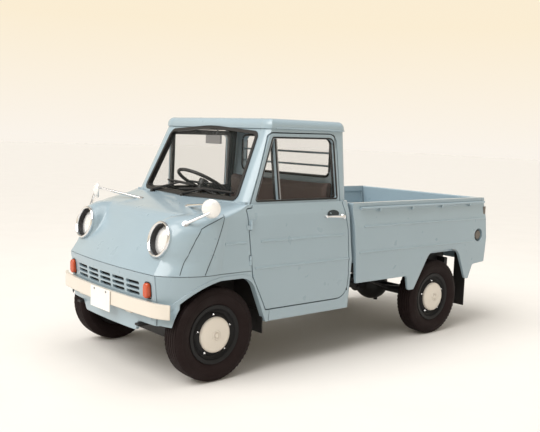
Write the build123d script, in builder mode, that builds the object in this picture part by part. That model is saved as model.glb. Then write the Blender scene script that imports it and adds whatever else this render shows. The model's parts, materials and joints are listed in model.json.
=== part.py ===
from build123d import *
import os
from collections import namedtuple
from math import cos, radians, sin

# Kei truck: a forward-control cab, a drop-gate load bed and four wheels on a ladder frame.
# Millimetres. The truck stands on Z = 0, its nose towards -Y and its left side towards +X.
# A station is a distance along the truck measured rearwards from the front axle.

# Overall sizes
WIDTH = 1295.0
HEIGHT = 1525.0
WHEELBASE = 2000.0
FRONT_OVERHANG = 405.0
REAR_OVERHANG = 585.0
LENGTH = FRONT_OVERHANG + WHEELBASE + REAR_OVERHANG
TRACK = 1110.0
HALF = WIDTH / 2
HALF_TRACK = TRACK / 2
FRONT_AXLE = FRONT_OVERHANG - LENGTH / 2
TAIL = LENGTH - FRONT_OVERHANG

# Front tyres and the king posts that they steer about
TYRE_RADIUS = 274.0
TYRE_WIDTH = 143.0
SHOULDER_X = TYRE_WIDTH / 2 - 12
KING_X = 455.0
SWEEP_ROOM = 7.0

# Heights of the body's lines
VALANCE_Z = 284.0
SILL_Z = 310.0
SEAM_Z = 632.0
RIDGE_Z = 800.0
CREASE_Z = 943.0
BELT_Z = 1016.0
RAIL_Z = 1460.0
GLASS_TOP_Z = 1490.0

# Walls and gaps
SIDE_WALL = 38.0
NOSE_WALL = 20.0
HOOD_WALL = 24.0
ROOF_WALL = 26.0
PANEL_GAP = 3.0
DOOR_GAP = 7.0
RUNNING_GAP = 0.3
CAB_BACK_RADIUS = 45.0
FOLD_SHARE = 0.16
FOLD_STEPS = 4
BEAD_RADIUS = 9.0
BEAD_PROUD = 5.0

# Plan of the cab at each level: front edge and flare are stations, bow is how far the middle stands
# ahead of the corners, corner is where the swept corner starts, sag is the swell of that corner.
Level = namedtuple("Level", "height front bow corner flare half sag back")
VALANCE = Level(VALANCE_Z, -322, 26, 480, 0, HALF - 17, 58, 1090)
SEAM = Level(SEAM_Z, -352, 32, 500, 0, HALF, 62, 1096)
CREASE = Level(CREASE_Z, -143, 10, 455, 50, HALF - 7, 70, 1060)
BELT = Level(BELT_Z, 178, 10, 515, 196, HALF - 25, 12, 1048)
HOUSE_FOOT = Level(BELT_Z, 196, 12, 515, 222, HALF - 45, 12, 1046)
HOUSE_TOP = Level(GLASS_TOP_Z, 416, 14, 470, 428, HALF - 92, 10, 1046)


def station(offset):
    """Y of a place measured rearwards from the front axle."""
    return FRONT_AXLE + offset


def level_at(low, high, height):
    """The cab's plan part of the way between two levels."""
    share = (height - low.height) / (high.height - low.height)
    return Level(*[a + share * (b - a) for a, b in zip(low, high)])


def cab_plan(level, inset=0.0, front_inset=0.0):
    """Plan outline at one level, drawn in by inset at the sides and back and by front_inset ahead."""
    nose = station(level.front + front_inset)
    corner = level.corner - inset
    half = level.half - inset
    flare = station(level.flare + inset / 2)
    back = station(level.back - inset)
    radius = CAB_BACK_RADIUS - inset
    turn = radius * (1 - cos(radians(45)))
    chord = Vector(half - corner, flare - nose)
    outward = Vector(chord.Y, -chord.X).normalized()
    swell = Vector((half + corner) / 2, (flare + nose) / 2) + outward * level.sag
    with BuildSketch(Plane.XY.offset(level.height)) as plan:
        with BuildLine():
            ThreePointArc((-corner, nose), (0, nose - level.bow), (corner, nose))
            ThreePointArc((corner, nose), (swell.X, swell.Y), (half, flare))
            Line((half, flare), (half, back - radius))
            ThreePointArc((half, back - radius), (half - turn, back - turn), (half - radius, back))
            Line((half - radius, back), (radius - half, back))
            ThreePointArc((radius - half, back), (turn - half, back - turn), (-half, back - radius))
            Line((-half, back - radius), (-half, flare))
            ThreePointArc((-half, flare), (-swell.X, swell.Y), (-corner, nose))
        make_face()
    return plan.sketch


def rounded_fold(low, fold, high):
    """Levels that curve from one slope of the cab to the next in place of a sharp fold."""
    start = Level(*[b + FOLD_SHARE * (a - b) for a, b in zip(low, fold)])
    end = Level(*[b + FOLD_SHARE * (c - b) for b, c in zip(fold, high)])
    rows = []
    for step in range(FOLD_STEPS + 1):
        t = step / FOLD_STEPS
        mix = [(1 - t) ** 2 * a + 2 * t * (1 - t) * b + t * t * c for a, b, c in zip(start, fold, end)]
        rows.append(Level(*mix))
    return rows


def cab_solid(levels, inset=0.0, front_inset=0.0):
    """Straight loft through the cab's levels."""
    sections = [cab_plan(level, inset, front_inset) for level in levels]
    with BuildPart() as solid:
        loft(sections=sections, ruled=True)
    return solid.part


def side_prism(outline, x_low, x_high, swell=0.0):
    """Prism across the truck from a side outline of (station, height, corner radius) rows."""
    points = [(station(s), z) for s, z, _ in outline]
    with BuildPart() as prism:
        with BuildSketch(Plane.YZ.offset(x_low)):
            with BuildLine():
                FilletPolyline(*points, radius=[r for _, _, r in outline], close=True)
            make_face()
            if swell:
                offset(amount=swell, kind=Kind.INTERSECTION)
        extrude(amount=x_high - x_low)
    return prism.part


def front_prism(outline, station_low, station_high, swell=0.0):
    """Prism along the truck from a front outline of (x, height, corner radius) rows."""
    points = [(x, z) for x, z, _ in outline]
    with BuildPart() as prism:
        with BuildSketch(Plane.XZ.offset(-station(station_high))):
            with BuildLine():
                FilletPolyline(*points, radius=[r for _, _, r in outline], close=True)
            make_face()
            if swell:
                offset(amount=swell, kind=Kind.INTERSECTION)
        extrude(amount=station_high - station_low)
    return prism.part


def block(x, s, z):
    """Box from (low, high) pairs of x, station and height."""
    with BuildPart() as box:
        with BuildSketch(Plane.XY.offset(z[0])):
            with Locations(((x[0] + x[1]) / 2, station((s[0] + s[1]) / 2))):
                Rectangle(x[1] - x[0], s[1] - s[0])
        extrude(amount=z[1] - z[0])
    return box.part


def rod(start, end, radius):
    """Round bar between two (x, station, height) points."""
    a = Vector(start[0], station(start[1]), start[2])
    b = Vector(end[0], station(end[1]), end[2])
    with BuildPart() as bar:
        with BuildSketch(Plane(origin=a, z_dir=b - a)):
            Circle(radius)
        extrude(amount=(b - a).length)
    return bar.part


def both_sides(solids):
    """The given left-hand solids and their mirror images."""
    return list(solids) + [solid.mirror(Plane.YZ) for solid in solids]


# Cab shell: lower walls, upper walls with the nose and hood, and the glass house, hollow all through
lower_outer = cab_solid([VALANCE, SEAM])
lower_inner = cab_solid([VALANCE, SEAM], SIDE_WALL, NOSE_WALL)
upper_outer = cab_solid([SEAM, *rounded_fold(SEAM, CREASE, BELT), BELT])
hood_under = [
    SEAM,
    CREASE._replace(height=CREASE_Z - HOOD_WALL),
    BELT._replace(height=BELT_Z - HOOD_WALL),
    BELT,
]
upper_inner = cab_solid(hood_under, SIDE_WALL, NOSE_WALL)
house_outer = cab_solid([HOUSE_FOOT, HOUSE_TOP])
house_inner = cab_solid([HOUSE_FOOT, HOUSE_TOP], SIDE_WALL, SIDE_WALL)

with BuildPart() as lower_shell:
    add(lower_outer)
    add(lower_inner, mode=Mode.SUBTRACT)

with BuildPart() as upper_shell:
    add(upper_outer)
    add(upper_inner, mode=Mode.SUBTRACT)

below_rail = block((-HALF, HALF), (0, TAIL), (BELT_Z, RAIL_Z))
with BuildPart() as house_shell:
    add(house_outer)
    add(house_inner, mode=Mode.SUBTRACT)
    add(below_rail, mode=Mode.INTERSECT)

# Pressed beads along the sides, from (height, first station, last station)
BEADS = [(RIDGE_Z, 28, 180), (RIDGE_Z, 290, 992), (SEAM_Z + 10, 252, SEAM.back - CAB_BACK_RADIUS)]
bead_rods = []
for height, first, last in BEADS:
    side = level_at(SEAM, CREASE, height).half + BEAD_PROUD - BEAD_RADIUS
    bead_rods.append(rod((side, first, height), (side, last, height), BEAD_RADIUS))

with BuildPart() as cab_walls:
    add(lower_shell.part)
    add(upper_shell.part)
    add(house_shell.part)

with BuildPart() as left_shell:
    add(cab_walls.part)
    add(bead_rods)
    add(block((0, HALF + 60), (-500, TAIL), (SILL_Z, RAIL_Z)), mode=Mode.INTERSECT)

# Door outline in side view, and the window in it
DOOR_STEP = 26.0
DOOR_OUTLINE = [
    (187, BELT_Z - DOOR_STEP, 10),
    (232, SEAM_Z, 0),
    (240, 590, 70),
    (352, 386, 14),
    (1038, 386, 90),
    (1044, 520, 0),
    (1022, 830, 60),
    (974, BELT_Z - 10, 20),
    (954, 1438, 60),
    (402, 1432, 36),
    (228, BELT_Z - DOOR_STEP + 4, 8),
]
WINDOW_OUTLINE = [(278, 1036, 12), (424, 1404, 20), (928, 1408, 40), (948, 1036, 14)]
VENT_POST = [(426, 1420, 0), (450, 1420, 0), (470, 1020, 0), (446, 1020, 0)]
BEYOND = HALF + 60

door_zone = side_prism(DOOR_OUTLINE, HALF - 160, BEYOND)
door_opening = side_prism(DOOR_OUTLINE, HALF - 160, BEYOND, swell=DOOR_GAP)
window_zone = side_prism(WINDOW_OUTLINE, HALF - 160, BEYOND)
vent_post = side_prism(VENT_POST, HALF - 160, BEYOND)

# Panel zones
WINDSCREEN_OUTLINE = [
    (-514, 1030, 40),
    (-472, 1441, 50),
    (0, 1473, 1500),
    (472, 1441, 50),
    (514, 1030, 40),
    (0, 1019, 1500),
]
REAR_WINDOW_OUTLINE = [(-456, 1165, 45), (-456, 1410, 45), (456, 1410, 45), (456, 1165, 45)]
windscreen_opening = front_prism(WINDSCREEN_OUTLINE, 120, 620)
rear_window_opening = front_prism(REAR_WINDOW_OUTLINE, 940, 1090)

NOSE_OUTLINE = [
    (-520, SEAM_Z, 0),
    (-114, SEAM_Z, 0),
    (8, 957, 60),
    (30, BELT_Z + 1, 0),
    (-520, BELT_Z + 1, 0),
]
HOOD_HALF = 528.0
nose_zone = side_prism(NOSE_OUTLINE, -BEYOND, BEYOND)
SCREEN_FOOT_Z = 1034.0
hood_zone = block((-HOOD_HALF, HOOD_HALF), (-300, 300), (CREASE_Z, SCREEN_FOOT_Z))

APRON_HALF = 505.0
VALANCE_HALF = 300.0
APRON_FOOT_Z = 345.0
APRON_OUTLINE = [
    (-APRON_HALF, SEAM_Z - PANEL_GAP, 0),
    (-APRON_HALF, APRON_FOOT_Z, 0),
    (-VALANCE_HALF - 30, APRON_FOOT_Z, 20),
    (-VALANCE_HALF, VALANCE_Z, 20),
    (VALANCE_HALF, VALANCE_Z, 20),
    (VALANCE_HALF + 30, APRON_FOOT_Z, 20),
    (APRON_HALF, APRON_FOOT_Z, 0),
    (APRON_HALF, SEAM_Z - PANEL_GAP, 0),
]
apron_zone = front_prism(APRON_OUTLINE, -460, -200)

FENDER_REAR = 378.0
ARCH_TOP_Z = 594.0
ARCH_REAR = (222, ARCH_TOP_Z, 125)
ARCH_FRONT = (-176, ARCH_TOP_Z, 370)
FENDER_OUTLINE = [
    (-460, SEAM_Z - PANEL_GAP, 0),
    (229, SEAM_Z - PANEL_GAP, 0),
    (300, 520, 0),
    (FENDER_REAR, 400, 0),
    (FENDER_REAR, SILL_Z, 0),
    (352, SILL_Z, 0),
    ARCH_REAR,
    ARCH_FRONT,
    (-327, 352, 8),
    (-460, 352, 0),
]
fender_zone = side_prism(FENDER_OUTLINE, APRON_HALF + PANEL_GAP, BEYOND)

# Rolled lip round the front arch: a band beside the opening that stands proud of the skin
LIP_WIDTH = 22.0
LIP_PROUD = 4.0
ARCH_OUTLINE = [(379, 250, 0), ARCH_REAR, ARCH_FRONT, (-391, 250, 0)]
lip_band = side_prism(ARCH_OUTLINE, APRON_HALF + PANEL_GAP, BEYOND, swell=LIP_WIDTH)
lip_skin = cab_solid([VALANCE, SEAM], -LIP_PROUD, -LIP_PROUD)
ARCH_REACH = (-330.0, FENDER_REAR)
lip_room = block((HALF - 150, BEYOND), ARCH_REACH, (SILL_Z, SEAM_Z - PANEL_GAP - LIP_WIDTH / 2))
FRONT_LOWER = [
    (-460, SILL_Z - 60, 0),
    (-460, SEAM_Z, 0),
    (229, SEAM_Z, 0),
    (300, 520, 0),
    (FENDER_REAR + PANEL_GAP, 400, 0),
    (FENDER_REAR + PANEL_GAP, SILL_Z - 60, 0),
]
front_lower_zone = side_prism(FRONT_LOWER, -BEYOND, BEYOND)
BACK_HALF = 525.0
BACK_FOOT_Z = 490.0
BACK_SPAN = (986.0, 1130.0)
back_zone = block((-BACK_HALF, BACK_HALF), BACK_SPAN, (BACK_FOOT_Z, RAIL_Z))
under_back = block((-BACK_HALF, BACK_HALF), BACK_SPAN, (0, BACK_FOOT_Z))

# Headlamps lean back a little on pods that grow out of the slanted nose
LAMP_X = 442.0
LAMP_Z = 822.0
LAMP_STATION = -284.0
LAMP_TILT = 14.0
LAMP_POD_RADIUS = 103.0
LAMP_POD_FLARE = 58.0
LAMP_POD_DEPTH = 200.0
LAMP_RIM_RADIUS = 103.0
LAMP_RIM_DEPTH = 12.0
LAMP_LENS_RADIUS = 89.0
LAMP_SEAT_DEPTH = 36.0
LENS_DOME = 24.0
lamp_plane = Plane(
    origin=(LAMP_X, station(LAMP_STATION), LAMP_Z),
    x_dir=(1, 0, 0),
    z_dir=(0, -cos(radians(LAMP_TILT)), sin(radians(LAMP_TILT))),
)
with BuildPart() as lamp_pod:
    with BuildSketch(lamp_plane):
        Circle(LAMP_POD_RADIUS)
    with BuildSketch(lamp_plane.offset(-LAMP_POD_DEPTH)):
        Circle(LAMP_POD_RADIUS + LAMP_POD_FLARE)
    loft(ruled=True)
pods = both_sides([lamp_pod.part])
with BuildPart() as lamp_seat:
    with BuildSketch(lamp_plane.offset(-LAMP_SEAT_DEPTH)):
        Circle(LAMP_LENS_RADIUS)
    extrude(amount=LAMP_SEAT_DEPTH)
lamp_seats = both_sides([lamp_seat.part])

with BuildPart() as nose_panel:
    add(nose_zone)
    add(hood_zone)
    add(cab_walls.part, mode=Mode.INTERSECT)
    add(windscreen_opening, mode=Mode.SUBTRACT)
    add(pods)
    add(upper_inner, mode=Mode.SUBTRACT)
    add(lower_inner, mode=Mode.SUBTRACT)
    add(lamp_seats, mode=Mode.SUBTRACT)
nose_panel.part.label = "nose_panel"

with BuildPart() as headlamp_rims:
    with BuildSketch(lamp_plane):
        Circle(LAMP_RIM_RADIUS)
        Circle(LAMP_LENS_RADIUS, mode=Mode.SUBTRACT)
    extrude(amount=LAMP_RIM_DEPTH)
    chamfer(headlamp_rims.faces().sort_by(Axis.Y)[0].edges(), 5)
    mirror(about=Plane.YZ)
headlamp_rims.part.label = "headlamp_rims"

with BuildPart() as lens:
    with BuildSketch(Plane.XZ):
        with BuildLine():
            Polyline((0, LENS_DOME), (0, 0), (LAMP_LENS_RADIUS - RUNNING_GAP, 0))
            TangentArc((0, LENS_DOME), (LAMP_LENS_RADIUS - RUNNING_GAP, 0), tangent=(1, 0))
        make_face()
    revolve(axis=Axis.Z)
with BuildPart() as headlamp_lenses:
    add(lens.part.moved(lamp_plane.offset(-LAMP_SEAT_DEPTH).location))
    mirror(about=Plane.YZ)
headlamp_lenses.part.label = "headlamp_lenses"

def sweep_radius(height):
    """How far a steered tyre's shoulder reaches from its king post at one height, with room to spare."""
    outset = HALF_TRACK + SHOULDER_X - KING_X
    return (outset**2 + TYRE_RADIUS**2 - (height - TYRE_RADIUS) ** 2) ** 0.5 + SWEEP_ROOM


# Room that the steered tyres take out of the apron's inner face
SWEEP_LOW_Z = 330.0
SWEEP_TOP_Z = 460.0
with BuildPart() as tyre_sweep:
    with Locations((KING_X, station(0), SWEEP_LOW_Z)):
        Cone(
            sweep_radius(SWEEP_LOW_Z),
            sweep_radius(SWEEP_TOP_Z),
            SWEEP_TOP_Z - SWEEP_LOW_Z,
            align=(Align.CENTER, Align.CENTER, Align.MIN),
        )

# Front apron with its three rows of grille slots
GRILLE_Z = 537.0
GRILLE_PITCH_X = 150.0
GRILLE_PITCH_Z = 30.0
SLOT_LENGTH = 128.0
SLOT_HEIGHT = 19.0
FRAME_X = 285.0
FRAME_FRONT = -318.0
RAIL_WIDTH = 60.0
IRON_LOW_Z = 390.0
IRON_TOP_Z = 425.0
IRON_GAP = 2.0
with BuildPart() as front_apron:
    add(lower_shell.part)
    add(apron_zone, mode=Mode.INTERSECT)
    with BuildSketch(Plane.XZ.offset(-station(-200))):
        with Locations((0, GRILLE_Z)):
            with GridLocations(GRILLE_PITCH_X, GRILLE_PITCH_Z, 5, 3):
                SlotOverall(SLOT_LENGTH, SLOT_HEIGHT)
        with Locations((0, (IRON_LOW_Z + IRON_TOP_Z) / 2)):
            with GridLocations(2 * FRAME_X, 1, 2, 1):
                Rectangle(RAIL_WIDTH + 2 * IRON_GAP, IRON_TOP_Z - IRON_LOW_Z + 2 * IRON_GAP)
    extrude(amount=260, mode=Mode.SUBTRACT)
    add(both_sides([tyre_sweep.part]), mode=Mode.SUBTRACT)
front_apron.part.label = "front_apron"

with BuildPart() as arch_lip:
    add(lip_skin)
    add(lower_inner, mode=Mode.SUBTRACT)
    add(lip_room, mode=Mode.INTERSECT)
    add(lip_band, mode=Mode.INTERSECT)
with BuildPart() as front_fender_left:
    add(lower_shell.part)
    add(arch_lip.part)
    add(fender_zone, mode=Mode.INTERSECT)
    add(door_opening, mode=Mode.SUBTRACT)
    add(tyre_sweep.part, mode=Mode.SUBTRACT)
front_fender_left.part.label = "front_fender_left"
with BuildPart() as front_fender_right:
    mirror(front_fender_left.part, about=Plane.YZ)
front_fender_right.part.label = "front_fender_right"

# Door hinges on one upright axis: a barrel and pin on the cowl side, and a barrel on the door above it
HINGE_X = HALF - 2.0
HINGE_STATION = 214.0
HINGE_RADIUS = 9.0
HINGE_PIN_RADIUS = 4.0
HINGE_PIN_GAP = 0.05
HINGE_BARREL = 28.0
HINGE_HEIGHTS = (664.0, 872.0)
HINGE_LEAF = 34.0
HINGE_LEAF_DEPTH = 8.0
HINGE_ROOM = 12.0
cab_barrels = []
cab_notches = []
door_barrels = []
door_bores = []
door_notches = []
for height in HINGE_HEIGHTS:
    middle = height + HINGE_BARREL
    top = middle + HINGE_BARREL
    axis_low = (HINGE_X, HINGE_STATION, height)
    axis_middle = (HINGE_X, HINGE_STATION, middle)
    axis_above = (HINGE_X, HINGE_STATION, middle + RUNNING_GAP)
    axis_top = (HINGE_X, HINGE_STATION, top)
    leaf_x = (HINGE_X - HINGE_LEAF_DEPTH, HINGE_X)
    room_x = (HINGE_X - 2 * HINGE_LEAF_DEPTH, HINGE_X + 2 * HINGE_LEAF_DEPTH)
    ahead = (HINGE_STATION - HINGE_LEAF, HINGE_STATION)
    behind = (HINGE_STATION, HINGE_STATION + HINGE_LEAF)
    cab_barrels.append(rod(axis_low, axis_middle, HINGE_RADIUS))
    cab_barrels.append(rod(axis_low, axis_top, HINGE_PIN_RADIUS))
    cab_barrels.append(block(leaf_x, ahead, (height, middle)))
    cab_notches.append(
        block(room_x, (HINGE_STATION - HINGE_ROOM, HINGE_STATION + 60), (middle, top + PANEL_GAP))
    )
    door_barrels.append(rod(axis_above, axis_top, HINGE_RADIUS))
    door_barrels.append(block(leaf_x, behind, (middle + RUNNING_GAP, top)))
    door_bores.append(rod(axis_above, axis_top, HINGE_PIN_RADIUS + HINGE_PIN_GAP))
    door_notches.append(
        block(
            room_x,
            (HINGE_STATION - 60, HINGE_STATION + HINGE_ROOM),
            (height - PANEL_GAP, middle + RUNNING_GAP),
        )
    )

# The windscreen pillar's root runs down inside the cowl
ROOT_LAP = 12.0
root_x = (HOOD_HALF, BELT.half - SIDE_WALL + ROOT_LAP)
pillar_root = block(root_x, (HOUSE_FOOT.front, HOUSE_FOOT.flare), (BELT_Z - ROOT_LAP, BELT_Z + ROOT_LAP))
with BuildPart() as cab_side_left:
    add(left_shell.part)
    add(front_lower_zone, mode=Mode.SUBTRACT)
    add(nose_zone, mode=Mode.SUBTRACT)
    add(hood_zone, mode=Mode.SUBTRACT)
    add(back_zone, mode=Mode.SUBTRACT)
    add(under_back, mode=Mode.SUBTRACT)
    add(windscreen_opening, mode=Mode.SUBTRACT)
    add(door_opening, mode=Mode.SUBTRACT)
    add(cab_notches, mode=Mode.SUBTRACT)
    add(cab_barrels)
    add(pillar_root)
cab_side_left.part.label = "cab_side_left"
with BuildPart() as cab_side_right:
    mirror(cab_side_left.part, about=Plane.YZ)
cab_side_right.part.label = "cab_side_right"

side_core = [
    cab_solid([HOUSE_FOOT, HOUSE_TOP], SIDE_WALL, -200),
    cab_solid(hood_under, SIDE_WALL, -400),
]
with BuildPart() as post_bar:
    add(house_shell.part)
    add(vent_post, mode=Mode.INTERSECT)
with BuildPart() as door_left:
    add(left_shell.part)
    add(door_zone, mode=Mode.INTERSECT)
    add(window_zone, mode=Mode.SUBTRACT)
    add(side_core, mode=Mode.SUBTRACT)
    add(post_bar.part)
    add(door_notches, mode=Mode.SUBTRACT)
    add(door_barrels)
    add(door_bores, mode=Mode.SUBTRACT)
door_left.part.label = "door_left"
with BuildPart() as door_right:
    mirror(door_left.part, about=Plane.YZ)
door_right.part.label = "door_right"

# Door panes: a quarter light ahead of the post and a drop window behind it
PANE_DEPTH = 15.0
PANE_THICKNESS = 5.0
pane_outer = cab_solid([HOUSE_FOOT, HOUSE_TOP], PANE_DEPTH, PANE_DEPTH)
pane_inner = cab_solid([HOUSE_FOOT, HOUSE_TOP], PANE_DEPTH + PANE_THICKNESS, PANE_DEPTH + PANE_THICKNESS)
with BuildPart() as glass_shell:
    add(pane_outer)
    add(pane_inner, mode=Mode.SUBTRACT)
with BuildPart() as door_glass_left:
    add(glass_shell.part)
    add(window_zone, mode=Mode.INTERSECT)
    add(vent_post, mode=Mode.SUBTRACT)
door_glass_left.part.label = "door_glass_left"
with BuildPart() as door_glass_right:
    mirror(door_glass_left.part, about=Plane.YZ)
door_glass_right.part.label = "door_glass_right"

# Door handle: a lever over a shallow boss
HANDLE_Z = 920.0
HANDLE_FRONT = 806.0
HANDLE_REAR = 950.0
HANDLE_STAND = 26.0
handle_x = level_at(SEAM, CREASE, HANDLE_Z).half
handle_root = (handle_x - 20, HANDLE_FRONT + 20, HANDLE_Z)
handle_parts = [
    rod(handle_root, (handle_x + HANDLE_STAND, HANDLE_FRONT + 20, HANDLE_Z), 11),
    rod(handle_root, (handle_x + 7, HANDLE_FRONT + 20, HANDLE_Z), 20),
    block(
        (handle_x + HANDLE_STAND - 12, handle_x + HANDLE_STAND),
        (HANDLE_FRONT, HANDLE_REAR),
        (HANDLE_Z - 9, HANDLE_Z + 9),
    ),
]
with BuildPart() as door_handle_left:
    add(handle_parts)
    fillet(door_handle_left.faces().sort_by(Axis.X)[-1].edges(), 4)
    add(upper_outer, mode=Mode.SUBTRACT)
door_handle_left.part.label = "door_handle_left"
with BuildPart() as door_handle_right:
    mirror(door_handle_left.part, about=Plane.YZ)
door_handle_right.part.label = "door_handle_right"

# Roof: a rounded cap with a drip lip, hollow underneath
DRIP_LIP = 8.0
ROOF_RADIUS = 46.0
rail_level = level_at(HOUSE_FOOT, HOUSE_TOP, RAIL_Z)
roof_plan = cab_plan(rail_level, -DRIP_LIP, -DRIP_LIP)
roof_inside = cab_plan(rail_level, SIDE_WALL, SIDE_WALL)
ROOF_RIB_XS = (-330.0, -110.0, 110.0, 330.0)
ROOF_RIB_RADIUS = 12.0
ROOF_RIB_PROUD = 4.0
ROOF_RIB_SPAN = (520.0, 940.0)
roof_top = HEIGHT - ROOF_RIB_PROUD
rib_axis_z = HEIGHT - ROOF_RIB_RADIUS
roof_ribs = [
    rod((x, ROOF_RIB_SPAN[0], rib_axis_z), (x, ROOF_RIB_SPAN[1], rib_axis_z), ROOF_RIB_RADIUS)
    for x in ROOF_RIB_XS
]
with BuildPart() as roof_panel:
    add(roof_plan)
    extrude(amount=roof_top - RAIL_Z)
    fillet(roof_panel.faces().sort_by(Axis.Z)[-1].edges(), ROOF_RADIUS)
    add(roof_inside)
    extrude(amount=roof_top - RAIL_Z - ROOF_WALL, mode=Mode.SUBTRACT)
    add(windscreen_opening, mode=Mode.SUBTRACT)
    add(roof_ribs)
roof_panel.part.label = "roof_panel"

# Back of the cab with its window and two guard bars across it
GUARD_HEIGHTS = (1230.0, 1315.0)
GUARD_RADIUS = 7.0
GUARD_STATION = HOUSE_FOOT.back - 20.0
guard_bars = [rod((-470, GUARD_STATION, z), (470, GUARD_STATION, z), GUARD_RADIUS) for z in GUARD_HEIGHTS]
with BuildPart() as cab_back:
    add(cab_walls.part)
    add(back_zone, mode=Mode.INTERSECT)
    add(rear_window_opening, mode=Mode.SUBTRACT)
    add(guard_bars)
cab_back.part.label = "cab_back"

# Windscreen in its rubber, and the rear window
RUBBER_WIDTH = 20.0
RUBBER_PROUD = 7.0
rubber_outer = cab_solid([HOUSE_FOOT, HOUSE_TOP], -RUBBER_PROUD, -RUBBER_PROUD)
screen_glass_zone = front_prism(WINDSCREEN_OUTLINE, 120, 620, swell=-RUBBER_WIDTH)
with BuildPart() as window_rubbers:
    add(rubber_outer)
    add(house_inner, mode=Mode.SUBTRACT)
    add(windscreen_opening, mode=Mode.INTERSECT)
    add(screen_glass_zone, mode=Mode.SUBTRACT)
window_rubbers.part.label = "window_rubbers"
with BuildPart() as windscreen_pane:
    add(glass_shell.part)
    add(screen_glass_zone, mode=Mode.INTERSECT)
screen_pane = windscreen_pane.part
REAR_PANE_STATION = HOUSE_FOOT.back - SIDE_WALL + 2.0
rear_pane_slab = block((-600, 600), (REAR_PANE_STATION, REAR_PANE_STATION + PANE_THICKNESS), (BELT_Z, RAIL_Z))
with BuildPart() as rear_pane:
    add(rear_pane_slab)
    add(rear_window_opening, mode=Mode.INTERSECT)
with BuildPart() as cab_glass:
    add(screen_pane)
    add(rear_pane.part)
cab_glass.part.label = "cab_glass"

# Front bumper: a shallow bar that wraps round the corners, on two irons from the frame
BUMPER_LOW_Z = 402.0
BUMPER_HEIGHT = 82.0
BUMPER_DEPTH = 20.0
BUMPER_BOW = 30.0
BUMPER_CORNER = 500.0
BUMPER_TIP_X = 624.0
BUMPER_TIP = -318.0
BUMPER_FRONT = -FRONT_OVERHANG + BUMPER_BOW
bumper_irons = both_sides(
    [
        block(
            (FRAME_X - RAIL_WIDTH / 2, FRAME_X + RAIL_WIDTH / 2),
            (BUMPER_FRONT - 5, FRAME_FRONT),
            (IRON_LOW_Z, IRON_TOP_Z),
        )
    ]
)
with BuildPart() as front_bumper:
    with BuildSketch(Plane.XY.offset(BUMPER_LOW_Z)):
        with BuildLine():
            lead = ThreePointArc(
                (-BUMPER_CORNER, station(BUMPER_FRONT)),
                (0, station(BUMPER_FRONT - BUMPER_BOW)),
                (BUMPER_CORNER, station(BUMPER_FRONT)),
            )
            turn = TangentArc(lead @ 1, (BUMPER_TIP_X, station(BUMPER_TIP)), tangent=lead % 1)
            inset = Line(turn @ 1, turn @ 1 + Vector(-BUMPER_DEPTH, 2))
            inner = ThreePointArc(
                (BUMPER_CORNER - 6, station(BUMPER_FRONT + BUMPER_DEPTH)),
                (0, station(BUMPER_FRONT - BUMPER_BOW + BUMPER_DEPTH)),
                (6 - BUMPER_CORNER, station(BUMPER_FRONT + BUMPER_DEPTH)),
            )
            TangentArc(inner @ 0, inset @ 1, tangent=-(inner % 0))
            back = TangentArc(lead @ 0, (-BUMPER_TIP_X, station(BUMPER_TIP)), tangent=-(lead % 0))
            step = Line(back @ 1, back @ 1 + Vector(BUMPER_DEPTH, 2))
            TangentArc(inner @ 1, step @ 1, tangent=inner % 1)
        make_face()
    extrude(amount=BUMPER_HEIGHT)
    add(bumper_irons)
front_bumper.part.label = "front_bumper"

# Indicator lamps: tall ovals on the apron beside the grille
INDICATOR_X = 446.0
INDICATOR_Z = 541.0
INDICATOR_WIDTH = 50.0
INDICATOR_HEIGHT = 88.0
INDICATOR_FACE = -374.0
with BuildPart() as indicator_lamps:
    with BuildSketch(Plane.XZ.offset(-station(INDICATOR_FACE + 60))):
        with Locations((INDICATOR_X, INDICATOR_Z)):
            SlotOverall(INDICATOR_HEIGHT, INDICATOR_WIDTH, rotation=90)
    extrude(amount=60)
    fillet(indicator_lamps.faces().sort_by(Axis.Y)[0].edges(), 10)
    add(lower_outer, mode=Mode.SUBTRACT)
    mirror(about=Plane.YZ)
indicator_lamps.part.label = "indicator_lamps"

# Mirrors on two stays each, standing on the nose's shoulders
MIRROR_HEAD = (658.0, -82.0, 999.0)
MIRROR_FEET = [(588.0, -128.0, 912.0), (600.0, -90.0, 920.0)]
MIRROR_STAY_RADIUS = 5.5
MIRROR_RADIUS = 50.0
MIRROR_DEPTH = 62.0
with BuildPart() as mirror_cup:
    with BuildSketch(Plane.XZ):
        with BuildLine():
            Polyline((0, -MIRROR_DEPTH), (0, 0), (MIRROR_RADIUS, 0))
            TangentArc((0, -MIRROR_DEPTH), (MIRROR_RADIUS, 0), tangent=(1, 0))
        make_face()
    revolve(axis=Axis.Z)
cup_plane = Plane(
    origin=(MIRROR_HEAD[0], station(MIRROR_HEAD[1]) + MIRROR_DEPTH / 2, MIRROR_HEAD[2]),
    x_dir=(1, 0, 0),
    z_dir=(0, 1, 0),
)
stays = [rod((x - 8, s, z - 10), MIRROR_HEAD, MIRROR_STAY_RADIUS) for x, s, z in MIRROR_FEET]
with BuildPart() as fender_mirrors:
    add(stays)
    add(upper_outer, mode=Mode.SUBTRACT)
    add(mirror_cup.part.moved(cup_plane.location))
    mirror(about=Plane.YZ)
fender_mirrors.part.label = "fender_mirrors"

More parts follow.
